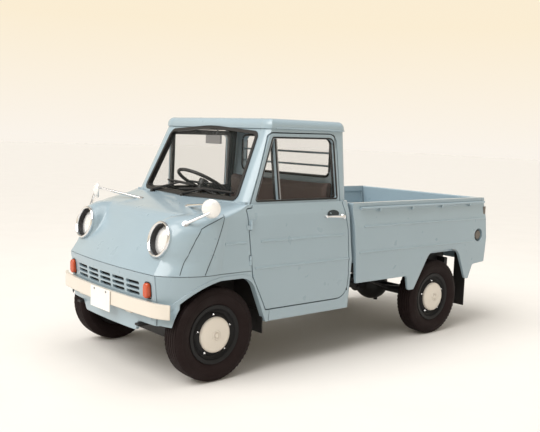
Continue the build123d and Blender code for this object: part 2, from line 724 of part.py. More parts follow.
# Wipers lying along the foot of the windscreen, from (pivot x, blade start, blade end)
WIPERS = [(-386.0, -340.0, -40.0), (-30.0, 20.0, 330.0)]
WIPER_STATION = 166.0
WIPER_Z = 1046.0
WIPER_ARM_RADIUS = 4.0
WIPER_BLADE_RADIUS = 6.0
WIPER_PIVOT_RADIUS = 9.0
wiper_bars = []
for pivot, blade_start, blade_end in WIPERS:
    foot = (pivot, WIPER_STATION, CREASE_Z)
    head = (pivot, WIPER_STATION, WIPER_Z - WIPER_BLADE_RADIUS)
    blade_middle = ((blade_start + blade_end) / 2, WIPER_STATION, WIPER_Z)
    wiper_bars.append(rod(foot, head, WIPER_PIVOT_RADIUS))
    wiper_bars.append(rod(head, blade_middle, WIPER_ARM_RADIUS))
    wiper_bars.append(
        rod((blade_start, WIPER_STATION, WIPER_Z), (blade_end, WIPER_STATION, WIPER_Z), WIPER_BLADE_RADIUS)
    )
with BuildPart() as wipers:
    add(wiper_bars)
    add(upper_outer, mode=Mode.SUBTRACT)
wipers.part.label = "wipers"

# Ladder frame: kicked-up rails, crossmembers, spring hangers and towing eyes
FRAME_REAR = WHEELBASE + 500.0
KICK_START = 1036.0
FRAME_LOW_Z = 335.0
FRAME_HIGH_Z = 460.0
RAIL_DEPTH = 90.0
CAB_RAIL_TOP = FRAME_LOW_Z + RAIL_DEPTH
BED_RAIL_TOP = FRAME_HIGH_Z + RAIL_DEPTH
RAIL_INNER = FRAME_X - RAIL_WIDTH / 2
RAIL_OUTER = FRAME_X + RAIL_WIDTH / 2
RAIL_OUTLINE = [
    (FRAME_FRONT, FRAME_LOW_Z, 0),
    (FRAME_FRONT, CAB_RAIL_TOP, 0),
    (KICK_START, CAB_RAIL_TOP, 60),
    (KICK_START + 148, BED_RAIL_TOP, 60),
    (FRAME_REAR, BED_RAIL_TOP, 0),
    (FRAME_REAR, FRAME_HIGH_Z, 0),
    (KICK_START + 178, FRAME_HIGH_Z, 60),
    (KICK_START + 18, FRAME_LOW_Z, 60),
]
AXLE_CROSS_LOW = 178.0
CROSS_INSET = 5.0
# Crossmembers: station, width along the truck, low, high
CROSSMEMBERS = [
    (FRAME_FRONT + 40, 60, FRAME_LOW_Z + CROSS_INSET, CAB_RAIL_TOP - CROSS_INSET),
    (0.0, 150, AXLE_CROSS_LOW, FRAME_LOW_Z + 40),
    (WHEELBASE - 600, 60, FRAME_HIGH_Z + CROSS_INSET, BED_RAIL_TOP - CROSS_INSET),
    (WHEELBASE - 360, 60, FRAME_HIGH_Z + CROSS_INSET, BED_RAIL_TOP - CROSS_INSET),
    (FRAME_REAR - 30, 60, FRAME_HIGH_Z + CROSS_INSET, BED_RAIL_TOP - CROSS_INSET),
]
SPRING_X = 362.0
SPRING_WIDTH = 50.0
HANGER_STATIONS = (WHEELBASE - 440, WHEELBASE + 440)
HANGER_LOW_Z = 410.0
HANGER_LENGTH = 36.0
DAMPER_STATION = 42.0
DAMPER_X = 376.0
DAMPER_RADIUS = 18.0
DAMPER_TOP = CAB_RAIL_TOP - 20.0
rails = [side_prism(RAIL_OUTLINE, x, x + RAIL_WIDTH) for x in (-RAIL_OUTER, RAIL_INNER)]
crossbars = []
for place, width, low, high in CROSSMEMBERS:
    reach = RAIL_OUTER if low < FRAME_LOW_Z else RAIL_INNER
    crossbars.append(block((-reach, reach), (place - width / 2, place + width / 2), (low, high)))
hangers = both_sides(
    [
        block(
            (RAIL_INNER, SPRING_X + SPRING_WIDTH / 2),
            (place - HANGER_LENGTH / 2, place + HANGER_LENGTH / 2),
            (HANGER_LOW_Z, FRAME_HIGH_Z + 40),
        )
        for place in HANGER_STATIONS
    ]
)
damper_brackets = both_sides(
    [
        block(
            (RAIL_INNER, DAMPER_X + DAMPER_RADIUS),
            (DAMPER_STATION - DAMPER_RADIUS, DAMPER_STATION + DAMPER_RADIUS),
            (DAMPER_TOP, CAB_RAIL_TOP),
        )
    ]
)
# Towing eyes: two under the rails' front ends and one on the last crossmember
TOW_PLATE = 12.0
TOW_FRONT_RADIUS = 12.0
TOW_FRONT = (355.0, -345.0)
TOW_REAR_RADIUS = 14.0
TOW_REAR_STATION = FRAME_REAR + 25.0
TOW_RIM = 20.0
TOW_LAP = 30.0
front_plate_z = (FRAME_LOW_Z - TOW_PLATE, FRAME_LOW_Z)
rear_plate_z = (FRAME_HIGH_Z + CROSS_INSET, FRAME_HIGH_Z + CROSS_INSET + TOW_PLATE)
tow_plates = both_sides(
    [
        block((FRAME_X, TOW_FRONT[0] + TOW_RIM), (FRAME_FRONT, FRAME_FRONT + TOW_LAP), front_plate_z),
        block(
            (TOW_FRONT[0] - TOW_RIM, TOW_FRONT[0] + TOW_RIM),
            (TOW_FRONT[1] - TOW_RIM, FRAME_FRONT + TOW_LAP),
            front_plate_z,
        ),
    ]
)
rear_eye_edge = TOW_REAR_RADIUS + TOW_RIM
rear_plate_x = (-rear_eye_edge, rear_eye_edge)
tow_plates.append(block(rear_plate_x, (FRAME_REAR - 30, TOW_REAR_STATION + TOW_RIM), rear_plate_z))
front_bore = rod((*TOW_FRONT, front_plate_z[0]), (*TOW_FRONT, front_plate_z[1]), TOW_FRONT_RADIUS)
rear_bore = rod(
    (0, TOW_REAR_STATION, rear_plate_z[0]), (0, TOW_REAR_STATION, rear_plate_z[1]), TOW_REAR_RADIUS
)
tow_bores = both_sides([front_bore]) + [rear_bore]
with BuildPart() as frame:
    add(rails)
    add(crossbars)
    add(hangers)
    add(damper_brackets)
    add(tow_plates)
    add(tow_bores, mode=Mode.SUBTRACT)
frame.part.label = "frame"

# Cab floor: foot well, wheel houses, sill edges and the box under the seat
FLOOR_THICKNESS = 15.0
FLOOR_Z = CAB_RAIL_TOP
HOUSE_INNER_X = RAIL_OUTER + 3
HOUSE_WALL = 12.0
HOUSE_TOP_Z = 600.0
HOUSE_REAR = 345.0
TOE_BOARD = -285.0
CAB_REAR_INNER = BELT.back - SIDE_WALL - PANEL_GAP
SILL_EDGE_Z = 376.0
DOOR_ROOM = 10.0
floor_half = level_at(VALANCE, SEAM, FLOOR_Z).half - SIDE_WALL - DOOR_ROOM
SEAT_BOX_HALF = 534.0
SEAT_BOX_FRONT = 510.0
SEAT_BOX_TOP = 700.0
SEAT_BOX_WALL = 14.0
ENGINE_HALF = 190.0
ENGINE_FRONT = 540.0
ENGINE_REAR = 940.0
well_top = FLOOR_Z + FLOOR_THICKNESS
floor_plates = [
    block((-HOUSE_INNER_X, HOUSE_INNER_X), (-500, HOUSE_REAR + HOUSE_WALL), (FLOOR_Z, well_top)),
    block((-floor_half, floor_half), (HOUSE_REAR, CAB_REAR_INNER), (FLOOR_Z, well_top)),
    block((-HOUSE_INNER_X, HOUSE_INNER_X), (TOE_BOARD, TOE_BOARD + HOUSE_WALL), (FLOOR_Z, HOUSE_TOP_Z)),
]
house_plates = both_sides(
    [
        block((HOUSE_INNER_X, HOUSE_INNER_X + HOUSE_WALL), (-500, HOUSE_REAR), (FLOOR_Z, HOUSE_TOP_Z)),
        block((HOUSE_INNER_X, HALF), (HOUSE_REAR, HOUSE_REAR + HOUSE_WALL), (SILL_Z + 10, SILL_EDGE_Z)),
        block((HOUSE_INNER_X, floor_half), (HOUSE_REAR, HOUSE_REAR + HOUSE_WALL), (SILL_Z + 10, HOUSE_TOP_Z)),
        block(
            (HOUSE_INNER_X, floor_half),
            (-500, HOUSE_REAR + HOUSE_WALL),
            (HOUSE_TOP_Z, HOUSE_TOP_Z + HOUSE_WALL),
        ),
        block((floor_half - HOUSE_WALL, floor_half), (HOUSE_REAR, CAB_REAR_INNER), (SILL_Z + 10, FLOOR_Z)),
        block((floor_half - HOUSE_WALL, HALF), (HOUSE_REAR + 60, CAB_REAR_INNER), (SILL_Z + 10, SILL_EDGE_Z)),
    ]
)
seat_box = block((-SEAT_BOX_HALF, SEAT_BOX_HALF), (SEAT_BOX_FRONT, CAB_REAR_INNER), (FLOOR_Z, SEAT_BOX_TOP))
seat_box_inside = block(
    (SEAT_BOX_WALL - SEAT_BOX_HALF, SEAT_BOX_HALF - SEAT_BOX_WALL),
    (SEAT_BOX_FRONT + SEAT_BOX_WALL, CAB_REAR_INNER - SEAT_BOX_WALL),
    (FLOOR_Z - 1, SEAT_BOX_TOP - SEAT_BOX_WALL),
)
with BuildPart() as cab_floor:
    add(floor_plates)
    add(house_plates)
    add(lower_inner, mode=Mode.INTERSECT)
    add(seat_box)
    add(seat_box_inside, mode=Mode.SUBTRACT)
cab_floor.part.label = "cab_floor"

# Bench seat
CUSHION_HEIGHT = 120.0
CUSHION_FRONT = SEAT_BOX_FRONT - 14.0
CUSHION_REAR = CAB_REAR_INNER - 85.0
BACKREST_TOP = 1150.0
CUSHION_OUTLINE = [
    (CUSHION_FRONT, SEAT_BOX_TOP + RUNNING_GAP, 20),
    (CUSHION_FRONT, SEAT_BOX_TOP + CUSHION_HEIGHT, 40),
    (CUSHION_REAR, SEAT_BOX_TOP + CUSHION_HEIGHT - 15, 30),
    (CUSHION_REAR, SEAT_BOX_TOP + RUNNING_GAP, 10),
]
with BuildPart() as seat_cushion:
    add(side_prism(CUSHION_OUTLINE, -SEAT_BOX_HALF, SEAT_BOX_HALF))
seat_cushion.part.label = "seat_cushion"
BACKREST_OUTLINE = [
    (CUSHION_REAR + 2, SEAT_BOX_TOP + RUNNING_GAP, 8),
    (CUSHION_REAR + 8, BACKREST_TOP, 30),
    (CAB_REAR_INNER - 3, BACKREST_TOP, 20),
    (CAB_REAR_INNER - 3, SEAT_BOX_TOP + RUNNING_GAP, 8),
]
with BuildPart() as seat_back:
    add(side_prism(BACKREST_OUTLINE, -SEAT_BOX_HALF, SEAT_BOX_HALF))
seat_back.part.label = "seat_back"

# Dashboard under the windscreen
DASH_HALF = 570.0
DASH_OUTLINE = [
    (60, 870, 10),
    (60, BELT_Z, 0),
    (300, BELT_Z - 30, 20),
    (335, 960, 20),
    (315, 870, 20),
]
with BuildPart() as dashboard:
    add(side_prism(DASH_OUTLINE, -DASH_HALF, DASH_HALF))
    add(upper_inner, mode=Mode.INTERSECT)
    add(block((-HALF, HALF), (0, 400), (BELT_Z - HOOD_WALL - 2, BELT_Z + 2)), mode=Mode.SUBTRACT)
dashboard.part.label = "dashboard"

# Steering wheel, on a raked column ahead of the right-hand seat
STEER_X = -285.0
STEER_STATION = 525.0
STEER_Z = 1075.0
STEER_RAKE = 30.0
STEER_RADIUS = 185.0
STEER_GRIP = 12.0
STEER_HUB_RADIUS = 34.0
STEER_HUB_DEPTH = 22.0
COLUMN_RADIUS = 24.0
steer_axis = Vector(0, sin(radians(STEER_RAKE)), cos(radians(STEER_RAKE)))
steer_plane = Plane(origin=(STEER_X, station(STEER_STATION), STEER_Z), x_dir=(1, 0, 0), z_dir=steer_axis)
with BuildPart() as steering_wheel:
    with Locations(steer_plane):
        Torus(STEER_RADIUS, STEER_GRIP)
    with BuildSketch(steer_plane.offset(-STEER_HUB_DEPTH)):
        Circle(STEER_HUB_RADIUS)
    extrude(amount=2 * STEER_HUB_DEPTH)
    with BuildSketch(steer_plane.offset(-4)):
        with Locations((0, STEER_RADIUS / 2)):
            Rectangle(22, STEER_RADIUS)
        Rectangle(2 * STEER_RADIUS, 22)
    extrude(amount=8)
steering_wheel.part.label = "steering_wheel"

column_length = (STEER_Z - well_top) / cos(radians(STEER_RAKE)) - STEER_HUB_DEPTH - RUNNING_GAP
PEDAL_XS = (-270.0, -190.0, -110.0)
LEVER_X = 40.0
LEVER_STATION = 420.0
pedal_bars = []
for x in PEDAL_XS:
    pedal_bars.append(rod((x, -70, FLOOR_Z), (x, 0, well_top + 130), 7))
    pedal_bars.append(block((x - 30, x + 30), (-6, 6), (well_top + 110, well_top + 160)))
floor_lever = [
    rod((LEVER_X, LEVER_STATION, FLOOR_Z), (LEVER_X, LEVER_STATION - 50, well_top + 400), 8),
    rod((LEVER_X, LEVER_STATION - 46, well_top + 370), (LEVER_X, LEVER_STATION - 52, well_top + 416), 20),
]
with BuildPart() as controls:
    with BuildSketch(steer_plane.offset(-STEER_HUB_DEPTH - RUNNING_GAP)):
        Circle(COLUMN_RADIUS)
    extrude(amount=-column_length - 60)
    add(pedal_bars)
    add(floor_lever)
    add(block((-HALF, HALF), (-200, 600), (FLOOR_Z - 200, well_top)), mode=Mode.SUBTRACT)
controls.part.label = "controls"

# Load bed
BED_TOP_Z = 1000.0
BED_FLOOR_TOP = 660.0
BED_FLOOR_LOW = 600.0
BED_INNER = HALF - 50.0
BED_SKIRT_INNER = HALF - 26.0
BED_FRONT_TOP = 1066.0
BED_FRONT_LOW = 1126.0
BED_REAR = TAIL
BED_FOOT_Z = 466.0
TAB_Z = 362.0
ARCH_Z = 626.0
# Cross-section of the left side: x, height
BED_SECTION = [
    (HALF - 12, TAB_Z - 20),
    (HALF, 670),
    (HALF, 842),
    (HALF - 15, 950),
    (HALF - 12, BED_TOP_Z),
    (BED_INNER, BED_TOP_Z),
    (BED_INNER, BED_FLOOR_LOW),
    (BED_SKIRT_INNER, BED_FLOOR_LOW),
    (BED_SKIRT_INNER, TAB_Z - 20),
]
BED_SIDE_OUTLINE = [
    (BED_FRONT_LOW, BED_FOOT_Z, 0),
    (WHEELBASE - 352, BED_FOOT_Z, 24),
    (WHEELBASE - 328, TAB_Z, 14),
    (WHEELBASE - 265, TAB_Z, 12),
    (WHEELBASE - 108, ARCH_Z, 100),
    (WHEELBASE + 226, ARCH_Z, 115),
    (WHEELBASE + 346, 384, 14),
    (WHEELBASE + 388, 378, 14),
    (WHEELBASE + 430, 488, 24),
    (BED_REAR - 6, 498, 12),
    (BED_REAR, 686, 0),
    (BED_REAR - 42, BED_TOP_Z, 15),
    (BED_FRONT_TOP, BED_TOP_Z, 15),
]
BED_BEADS = [(842, 1176, BED_REAR - 28), (670, 1140, BED_REAR - 165)]
BED_POST_COUNT = 5
FIRST_POST = BED_FRONT_LOW + 10.0
post_pitch = (BED_REAR - 65.0 - FIRST_POST) / (BED_POST_COUNT - 1)
BED_POSTS = [FIRST_POST + i * post_pitch for i in range(BED_POST_COUNT)]
POST_WIDTH = 60.0
POCKET_DEPTH = 9.0
POCKET_Z = (700.0, 955.0)
bed_outline = side_prism(BED_SIDE_OUTLINE, 0, BEYOND)
bed_beads = [
    rod((HALF + BEAD_PROUD - BEAD_RADIUS, first, z), (HALF + BEAD_PROUD - BEAD_RADIUS, last, z), BEAD_RADIUS)
    for z, first, last in BED_BEADS
]
pockets = [
    block((BED_INNER - 1, BED_INNER + POCKET_DEPTH), (a + POST_WIDTH / 2, b - POST_WIDTH / 2), POCKET_Z)
    for a, b in zip(BED_POSTS, BED_POSTS[1:])
]
FUEL_CAP_STATION = TAIL - 107.0
FUEL_CAP_Z = 712.0
FUEL_CAP_RADIUS = 34.0
FUEL_RECESS_RADIUS = 50.0
FUEL_RECESS = 24.0
with BuildPart() as plain_bed_side:
    with BuildSketch(Plane.XZ.offset(-station(BED_REAR))):
        with BuildLine():
            Polyline(*BED_SECTION, close=True)
        make_face()
    extrude(amount=BED_REAR - BED_FRONT_TOP)
    add(bed_outline, mode=Mode.INTERSECT)
    add(bed_beads)
    add(pockets, mode=Mode.SUBTRACT)
filler_mouth = rod(
    (HALF - FUEL_RECESS, FUEL_CAP_STATION, FUEL_CAP_Z),
    (BEYOND, FUEL_CAP_STATION, FUEL_CAP_Z),
    FUEL_RECESS_RADIUS,
)
with BuildPart() as bed_side_left:
    add(plain_bed_side.part)
    add(filler_mouth, mode=Mode.SUBTRACT)
bed_side_left.part.label = "bed_side_left"
with BuildPart() as bed_side_right:
    mirror(plain_bed_side.part, about=Plane.YZ)
bed_side_right.part.label = "bed_side_right"

with BuildPart() as fuel_cap:
    add(
        rod(
            (HALF - FUEL_RECESS, FUEL_CAP_STATION, FUEL_CAP_Z),
            (HALF - 4, FUEL_CAP_STATION, FUEL_CAP_Z),
            FUEL_CAP_RADIUS,
        )
    )
    fillet(fuel_cap.faces().sort_by(Axis.X)[-1].edges(), 6)
fuel_cap.part.label = "fuel_cap"

# Bed floor: a ribbed deck on cross bearers, with the rear sill below the gate
SILL_REAR = TAIL - 20.0
SILL_DEPTH = 45.0
SILL_LOW = 500.0
DECK_FRONT = BED_FRONT_TOP + 44.0
RIB_COUNT = 9
RIB_WIDTH = 26.0
RIB_HEIGHT = 5.0
RIB_PITCH = 120.0
BEARER_COUNT = 5
BEARER_WIDTH = 50.0
FIRST_BEARER = KICK_START + 175.0
bearer_pitch = (SILL_REAR - 105.0 - FIRST_BEARER) / (BEARER_COUNT - 1)
BEARER_STATIONS = [FIRST_BEARER + i * bearer_pitch for i in range(BEARER_COUNT)]
GATE_LOW = BED_FLOOR_TOP + 5.0
bearers = [
    block(
        (-RAIL_OUTER - 60, RAIL_OUTER + 60),
        (place - BEARER_WIDTH / 2, place + BEARER_WIDTH / 2),
        (BED_RAIL_TOP, BED_FLOOR_LOW),
    )
    for place in BEARER_STATIONS
]
deck_top = BED_FLOOR_TOP - RIB_HEIGHT
deck = block((-BED_INNER, BED_INNER), (DECK_FRONT, SILL_REAR), (BED_FLOOR_LOW, deck_top))
rear_sill = block((-BED_INNER, BED_INNER), (SILL_REAR - SILL_DEPTH, SILL_REAR), (SILL_LOW, deck_top))
rib_x = [(i - (RIB_COUNT - 1) / 2) * RIB_PITCH for i in range(RIB_COUNT)]
RIB_SPAN = (DECK_FRONT + 66.0, SILL_REAR - 65.0)
ribs = [block((x - RIB_WIDTH / 2, x + RIB_WIDTH / 2), RIB_SPAN, (deck_top, BED_FLOOR_TOP)) for x in rib_x]

HEADBOARD = 30.0
front_slope = (BED_FRONT_LOW - BED_FRONT_TOP) / (BED_TOP_Z - BED_FOOT_Z)
board_foot = BED_FRONT_TOP + front_slope * (BED_TOP_Z - deck_top)
HEADBOARD_OUTLINE = [
    (board_foot + 2, deck_top, 0),
    (BED_FRONT_TOP + 2, BED_TOP_Z, 8),
    (BED_FRONT_TOP + 2 + HEADBOARD, BED_TOP_Z, 8),
    (board_foot + 2 + HEADBOARD, deck_top, 0),
]
with BuildPart() as bed_front:
    add(side_prism(HEADBOARD_OUTLINE, -BED_INNER, BED_INNER))
bed_front.part.label = "bed_front"

# Tailgate, hinged at its foot on knuckles along the rear sill
GATE_GAP = 6.0
GATE_THICKNESS = 26.0
GATE_HINGE_STATION = SILL_REAR + 4.0
GATE_HINGE_Z = deck_top - 3.0
GATE_HINGE_RADIUS = 9.0
GATE_PIN_RADIUS = 4.0
GATE_HINGE_XS = (-430.0, 0.0, 430.0)
GATE_KNUCKLE = 20.0
SILL_KNUCKLE = 45.0
GATE_LEAF_TOP = 700.0
GATE_LEAF = 6.0
GATE_LEAF_ROOM = 2.0
gate_slope = 42.0 / (BED_TOP_Z - 686.0)
gate_lean = gate_slope * (BED_TOP_Z - GATE_LOW)
GATE_OUTLINE = [
    (SILL_REAR, GATE_LOW, 0),
    (SILL_REAR - gate_lean, BED_TOP_Z, 8),
    (SILL_REAR - gate_lean - GATE_THICKNESS, BED_TOP_Z, 8),
    (SILL_REAR - GATE_THICKNESS, GATE_LOW, 0),
]
gate_leaves = []
gate_bores = []
sill_knuckles = []
sill_notches = []
for x in GATE_HINGE_XS:
    mid = (x - GATE_KNUCKLE, x + GATE_KNUCKLE)
    room = (mid[0] - RUNNING_GAP, mid[1] + RUNNING_GAP)
    outside = (x - SILL_KNUCKLE, x + SILL_KNUCKLE)
    left, right, room_left, room_right, end_left, end_right = [
        (edge, GATE_HINGE_STATION, GATE_HINGE_Z) for edge in mid + room + outside
    ]
    gate_leaves.append(rod(left, right, GATE_HINGE_RADIUS))
    gate_leaves.append(
        block(mid, (SILL_REAR + 1, GATE_HINGE_STATION + GATE_LEAF / 2), (GATE_HINGE_Z, GATE_LEAF_TOP))
    )
    gate_leaves.append(
        block(mid, (SILL_REAR - GATE_THICKNESS / 2, GATE_HINGE_STATION), (GATE_LOW, GATE_LEAF_TOP))
    )
    gate_bores.append(rod(left, right, GATE_PIN_RADIUS + HINGE_PIN_GAP))
    sill_knuckles.append(rod(end_left, room_left, GATE_HINGE_RADIUS))
    sill_knuckles.append(rod(room_right, end_right, GATE_HINGE_RADIUS))
    sill_knuckles.append(rod(end_left, end_right, GATE_PIN_RADIUS))
    sill_notches.append(
        block(
            room,
            (GATE_HINGE_STATION - GATE_HINGE_RADIUS - GATE_LEAF_ROOM, SILL_REAR),
            (GATE_HINGE_Z - GATE_HINGE_RADIUS - GATE_LEAF_ROOM, BED_FLOOR_TOP),
        )
    )
with BuildPart() as tailgate:
    add(side_prism(GATE_OUTLINE, GATE_GAP - BED_INNER, BED_INNER - GATE_GAP))
    add(gate_leaves)
    add(gate_bores, mode=Mode.SUBTRACT)
tailgate.part.label = "tailgate"

with BuildPart() as bed_floor:
    add(deck)
    add(rear_sill)
    add(bearers)
    add(ribs)
    add(sill_notches, mode=Mode.SUBTRACT)
    add(sill_knuckles)
bed_floor.part.label = "bed_floor"

# Rope rails along the bed's top edges, with hooks
ROPE_RAIL_Z = 966.0
ROPE_RAIL_RADIUS = 8.0
ROPE_POST_RADIUS = 6.0
ROPE_RAIL_X = HALF - 2.0
ROPE_RAIL = (BED_FRONT_LOW + 10.0, TAIL - 55.0)
ROPE_POST_INSET = 20.0
ROPE_POST_COUNT = 5
rope_pitch = (ROPE_RAIL[1] - ROPE_RAIL[0] - 2 * ROPE_POST_INSET) / (ROPE_POST_COUNT - 1)
ROPE_POSTS = [ROPE_RAIL[0] + ROPE_POST_INSET + i * rope_pitch for i in range(ROPE_POST_COUNT)]
ROPE_HOOKS = [(a + b) / 2 for a, b in zip(ROPE_POSTS, ROPE_POSTS[1:])]
HOOK_DROP = 26.0
rail_ends = [(ROPE_RAIL_X, end, ROPE_RAIL_Z) for end in ROPE_RAIL]
rope_bars = [rod(*rail_ends, ROPE_RAIL_RADIUS)]
for place in ROPE_POSTS:
    post_root = (BED_INNER + 20, place, ROPE_RAIL_Z)
    rope_bars.append(rod(post_root, (ROPE_RAIL_X, place, ROPE_RAIL_Z), ROPE_POST_RADIUS))
for place in ROPE_HOOKS:
    rope_bars.append(
        block(
            (ROPE_RAIL_X - 3, ROPE_RAIL_X + ROPE_RAIL_RADIUS),
            (place - 8, place + 8),
            (ROPE_RAIL_Z - HOOK_DROP, ROPE_RAIL_Z),
        )
    )
with BuildPart() as rope_rails:
    add(rope_bars)
    add(plain_bed_side.part, mode=Mode.SUBTRACT)
    mirror(about=Plane.YZ)
rope_rails.part.label = "rope_rails"

# Tail lamps on the rear sill
TAIL_LAMP_X = 500.0
TAIL_LAMP_Z = 575.0
TAIL_LAMP_RADIUS = 38.0
TAIL_LAMP_DEPTH = 18.0
with BuildPart() as tail_lamps:
    for x in (-TAIL_LAMP_X, TAIL_LAMP_X):
        add(rod((x, SILL_REAR, TAIL_LAMP_Z), (x, SILL_REAR + TAIL_LAMP_DEPTH, TAIL_LAMP_Z), TAIL_LAMP_RADIUS))
    fillet(tail_lamps.faces().sort_by(Axis.Y)[-2:].edges(), 7)
tail_lamps.part.label = "tail_lamps"

# Mud flaps behind the wheels
FLAP_LOW_Z = 158.0
FRONT_FLAP_LOW_Z = 236.0
FLAP_THICKNESS = 6.0
FLAP_X = (492.0, 618.0)
REAR_FLAP_STATION = WHEELBASE + 404.0
flaps = both_sides(
    [
        block(FLAP_X, (HOUSE_REAR - FLAP_THICKNESS, HOUSE_REAR), (FRONT_FLAP_LOW_Z, SILL_EDGE_Z)),
        block(
            (FLAP_X[0], BED_INNER),
            (REAR_FLAP_STATION, REAR_FLAP_STATION + FLAP_THICKNESS),
            (FLAP_LOW_Z, BED_FLOOR_LOW),
        ),
    ]
)
with BuildPart() as mud_flaps:
    add(flaps)
    add(front_fender_left.part, mode=Mode.SUBTRACT)
    add(front_fender_right.part, mode=Mode.SUBTRACT)
mud_flaps.part.label = "mud_flaps"

# Wheels: a pressed disc with a hub cap, on a hub bore, inside a cross-ply tyre
BEAD_SEAT_RADIUS = 152.0
RIM_FLANGE_RADIUS = 171.0
RIM_WIDTH = 104.0
DISC_OFFSET = 26.0
HUB_BORE = 22.05
SPINDLE_RADIUS = 22.0
DRUM_RADIUS = 108.0
DRUM_INNER_X = -62.0
CAP_RADIUS = 104.0
CAP_FACE_X = 76.0
# Half profile of the wheel, outboard positive: x, radius
WHEEL_PROFILE = [
    (DRUM_INNER_X, HUB_BORE),
    (DRUM_INNER_X, DRUM_RADIUS),
    (DISC_OFFSET - 10, DRUM_RADIUS),
    (DISC_OFFSET - 10, BEAD_SEAT_RADIUS - 14),
    (-RIM_WIDTH / 2, BEAD_SEAT_RADIUS - 8),
    (-RIM_WIDTH / 2, RIM_FLANGE_RADIUS),
    (6 - RIM_WIDTH / 2, RIM_FLANGE_RADIUS),
    (6 - RIM_WIDTH / 2, BEAD_SEAT_RADIUS),
    (RIM_WIDTH / 2 - 6, BEAD_SEAT_RADIUS),
    (RIM_WIDTH / 2 - 6, RIM_FLANGE_RADIUS),
    (RIM_WIDTH / 2, RIM_FLANGE_RADIUS),
    (RIM_WIDTH / 2, BEAD_SEAT_RADIUS - 8),
    (DISC_OFFSET + 6, BEAD_SEAT_RADIUS - 14),
    (DISC_OFFSET + 14, CAP_RADIUS + 2),
    (CAP_FACE_X - 26, CAP_RADIUS),
    (CAP_FACE_X - 8, CAP_RADIUS - 22),
    (CAP_FACE_X - 6, 34),
    (CAP_FACE_X, 26),
    (CAP_FACE_X, 0),
    (CAP_FACE_X - 22, 0),
    (CAP_FACE_X - 22, HUB_BORE),
]
with BuildPart() as wheel_form:
    with BuildSketch(Plane.XZ):
        with BuildLine():
            Polyline(*WHEEL_PROFILE, close=True)
        make_face()
    revolve(axis=Axis.X)

TREAD_DROP = 9.0
bead_x = RIM_WIDTH / 2 - 6
with BuildPart() as tyre_form:
    with BuildSketch(Plane.XZ):
        with BuildLine():
            Line((-bead_x, BEAD_SEAT_RADIUS), (bead_x, BEAD_SEAT_RADIUS))
            Line((bead_x, BEAD_SEAT_RADIUS), (bead_x, RIM_FLANGE_RADIUS + 1))
            ThreePointArc(
                (bead_x, RIM_FLANGE_RADIUS + 1),
                (TYRE_WIDTH / 2, (RIM_FLANGE_RADIUS + TYRE_RADIUS) / 2),
                (SHOULDER_X, TYRE_RADIUS - TREAD_DROP),
            )
            ThreePointArc(
                (SHOULDER_X, TYRE_RADIUS - TREAD_DROP),
                (0, TYRE_RADIUS),
                (-SHOULDER_X, TYRE_RADIUS - TREAD_DROP),
            )
            ThreePointArc(
                (-SHOULDER_X, TYRE_RADIUS - TREAD_DROP),
                (-TYRE_WIDTH / 2, (RIM_FLANGE_RADIUS + TYRE_RADIUS) / 2),
                (-bead_x, RIM_FLANGE_RADIUS + 1),
            )
            Line((-bead_x, RIM_FLANGE_RADIUS + 1), (-bead_x, BEAD_SEAT_RADIUS))
        make_face()
    revolve(axis=Axis.X)

# Wheel places: name, side, station
WHEELS = [
    ("front_left", 1, 0.0),
    ("front_right", -1, 0.0),
    ("rear_left", 1, WHEELBASE),
    ("rear_right", -1, WHEELBASE),
]
wheel_nodes = []
for place, side, axle in WHEELS:
    spot = Location((side * HALF_TRACK, station(axle), TYRE_RADIUS), (0, 0, 0 if side > 0 else 180))
    with BuildPart() as tyre:
        add(tyre_form.part.moved(spot))
    tyre.part.label = "tyre_" + place
    with BuildPart() as wheel:
        add(wheel_form.part.moved(spot))
    wheel.part.label = "wheel_" + place
    wheel_nodes += [tyre, wheel]

# Front knuckles: king post, spindle, back plate and steering arm
KING_RADIUS = 14.0
KING_BODY_RADIUS = 24.0
ARM_THICKNESS = 20.0
LOWER_ARM_Z = 186.0
UPPER_ARM_Z = 346.0
EYE_RADIUS = 20.0
STEER_ARM_REACH = 130.0
STEER_ARM_Z = 262.0
STEER_ARM_DEPTH = 22.0
STEER_ARM_WIDTH = 22.0
TIE_PIN_RADIUS = 8.0
TIE_ROD_RADIUS = 9.0
TIE_EYE_RADIUS = 17.0
TIE_EYE_HEIGHT = 22.0
PLATE_RADIUS = 102.0
PLATE_X = 482.0
PLATE_THICKNESS = 5.0
spindle_end = HALF_TRACK + CAP_FACE_X - 24
steer_arm_top = STEER_ARM_Z + STEER_ARM_DEPTH
tie_low = steer_arm_top + 1.0
tie_high = tie_low + TIE_EYE_HEIGHT
knuckle_bars = [
    rod((KING_X, 0, LOWER_ARM_Z), (KING_X, 0, UPPER_ARM_Z + ARM_THICKNESS), KING_RADIUS),
    rod((KING_X, 0, LOWER_ARM_Z + ARM_THICKNESS + 1), (KING_X, 0, UPPER_ARM_Z - 1), KING_BODY_RADIUS),
    rod((KING_X, 0, TYRE_RADIUS), (spindle_end, 0, TYRE_RADIUS), SPINDLE_RADIUS),
    rod((PLATE_X, 0, TYRE_RADIUS), (PLATE_X + PLATE_THICKNESS, 0, TYRE_RADIUS), PLATE_RADIUS),
    block(
        (KING_X - STEER_ARM_WIDTH / 2, KING_X + STEER_ARM_WIDTH / 2),
        (0, STEER_ARM_REACH + 16),
        (STEER_ARM_Z, steer_arm_top),
    ),
    rod((KING_X, STEER_ARM_REACH, steer_arm_top), (KING_X, STEER_ARM_REACH, tie_high), TIE_PIN_RADIUS),
]
with BuildPart() as knuckle_left:
    add(knuckle_bars)
knuckle_left.part.label = "knuckle_left"
with BuildPart() as knuckle_right:
    mirror(knuckle_left.part, about=Plane.YZ)
knuckle_right.part.label = "knuckle_right"

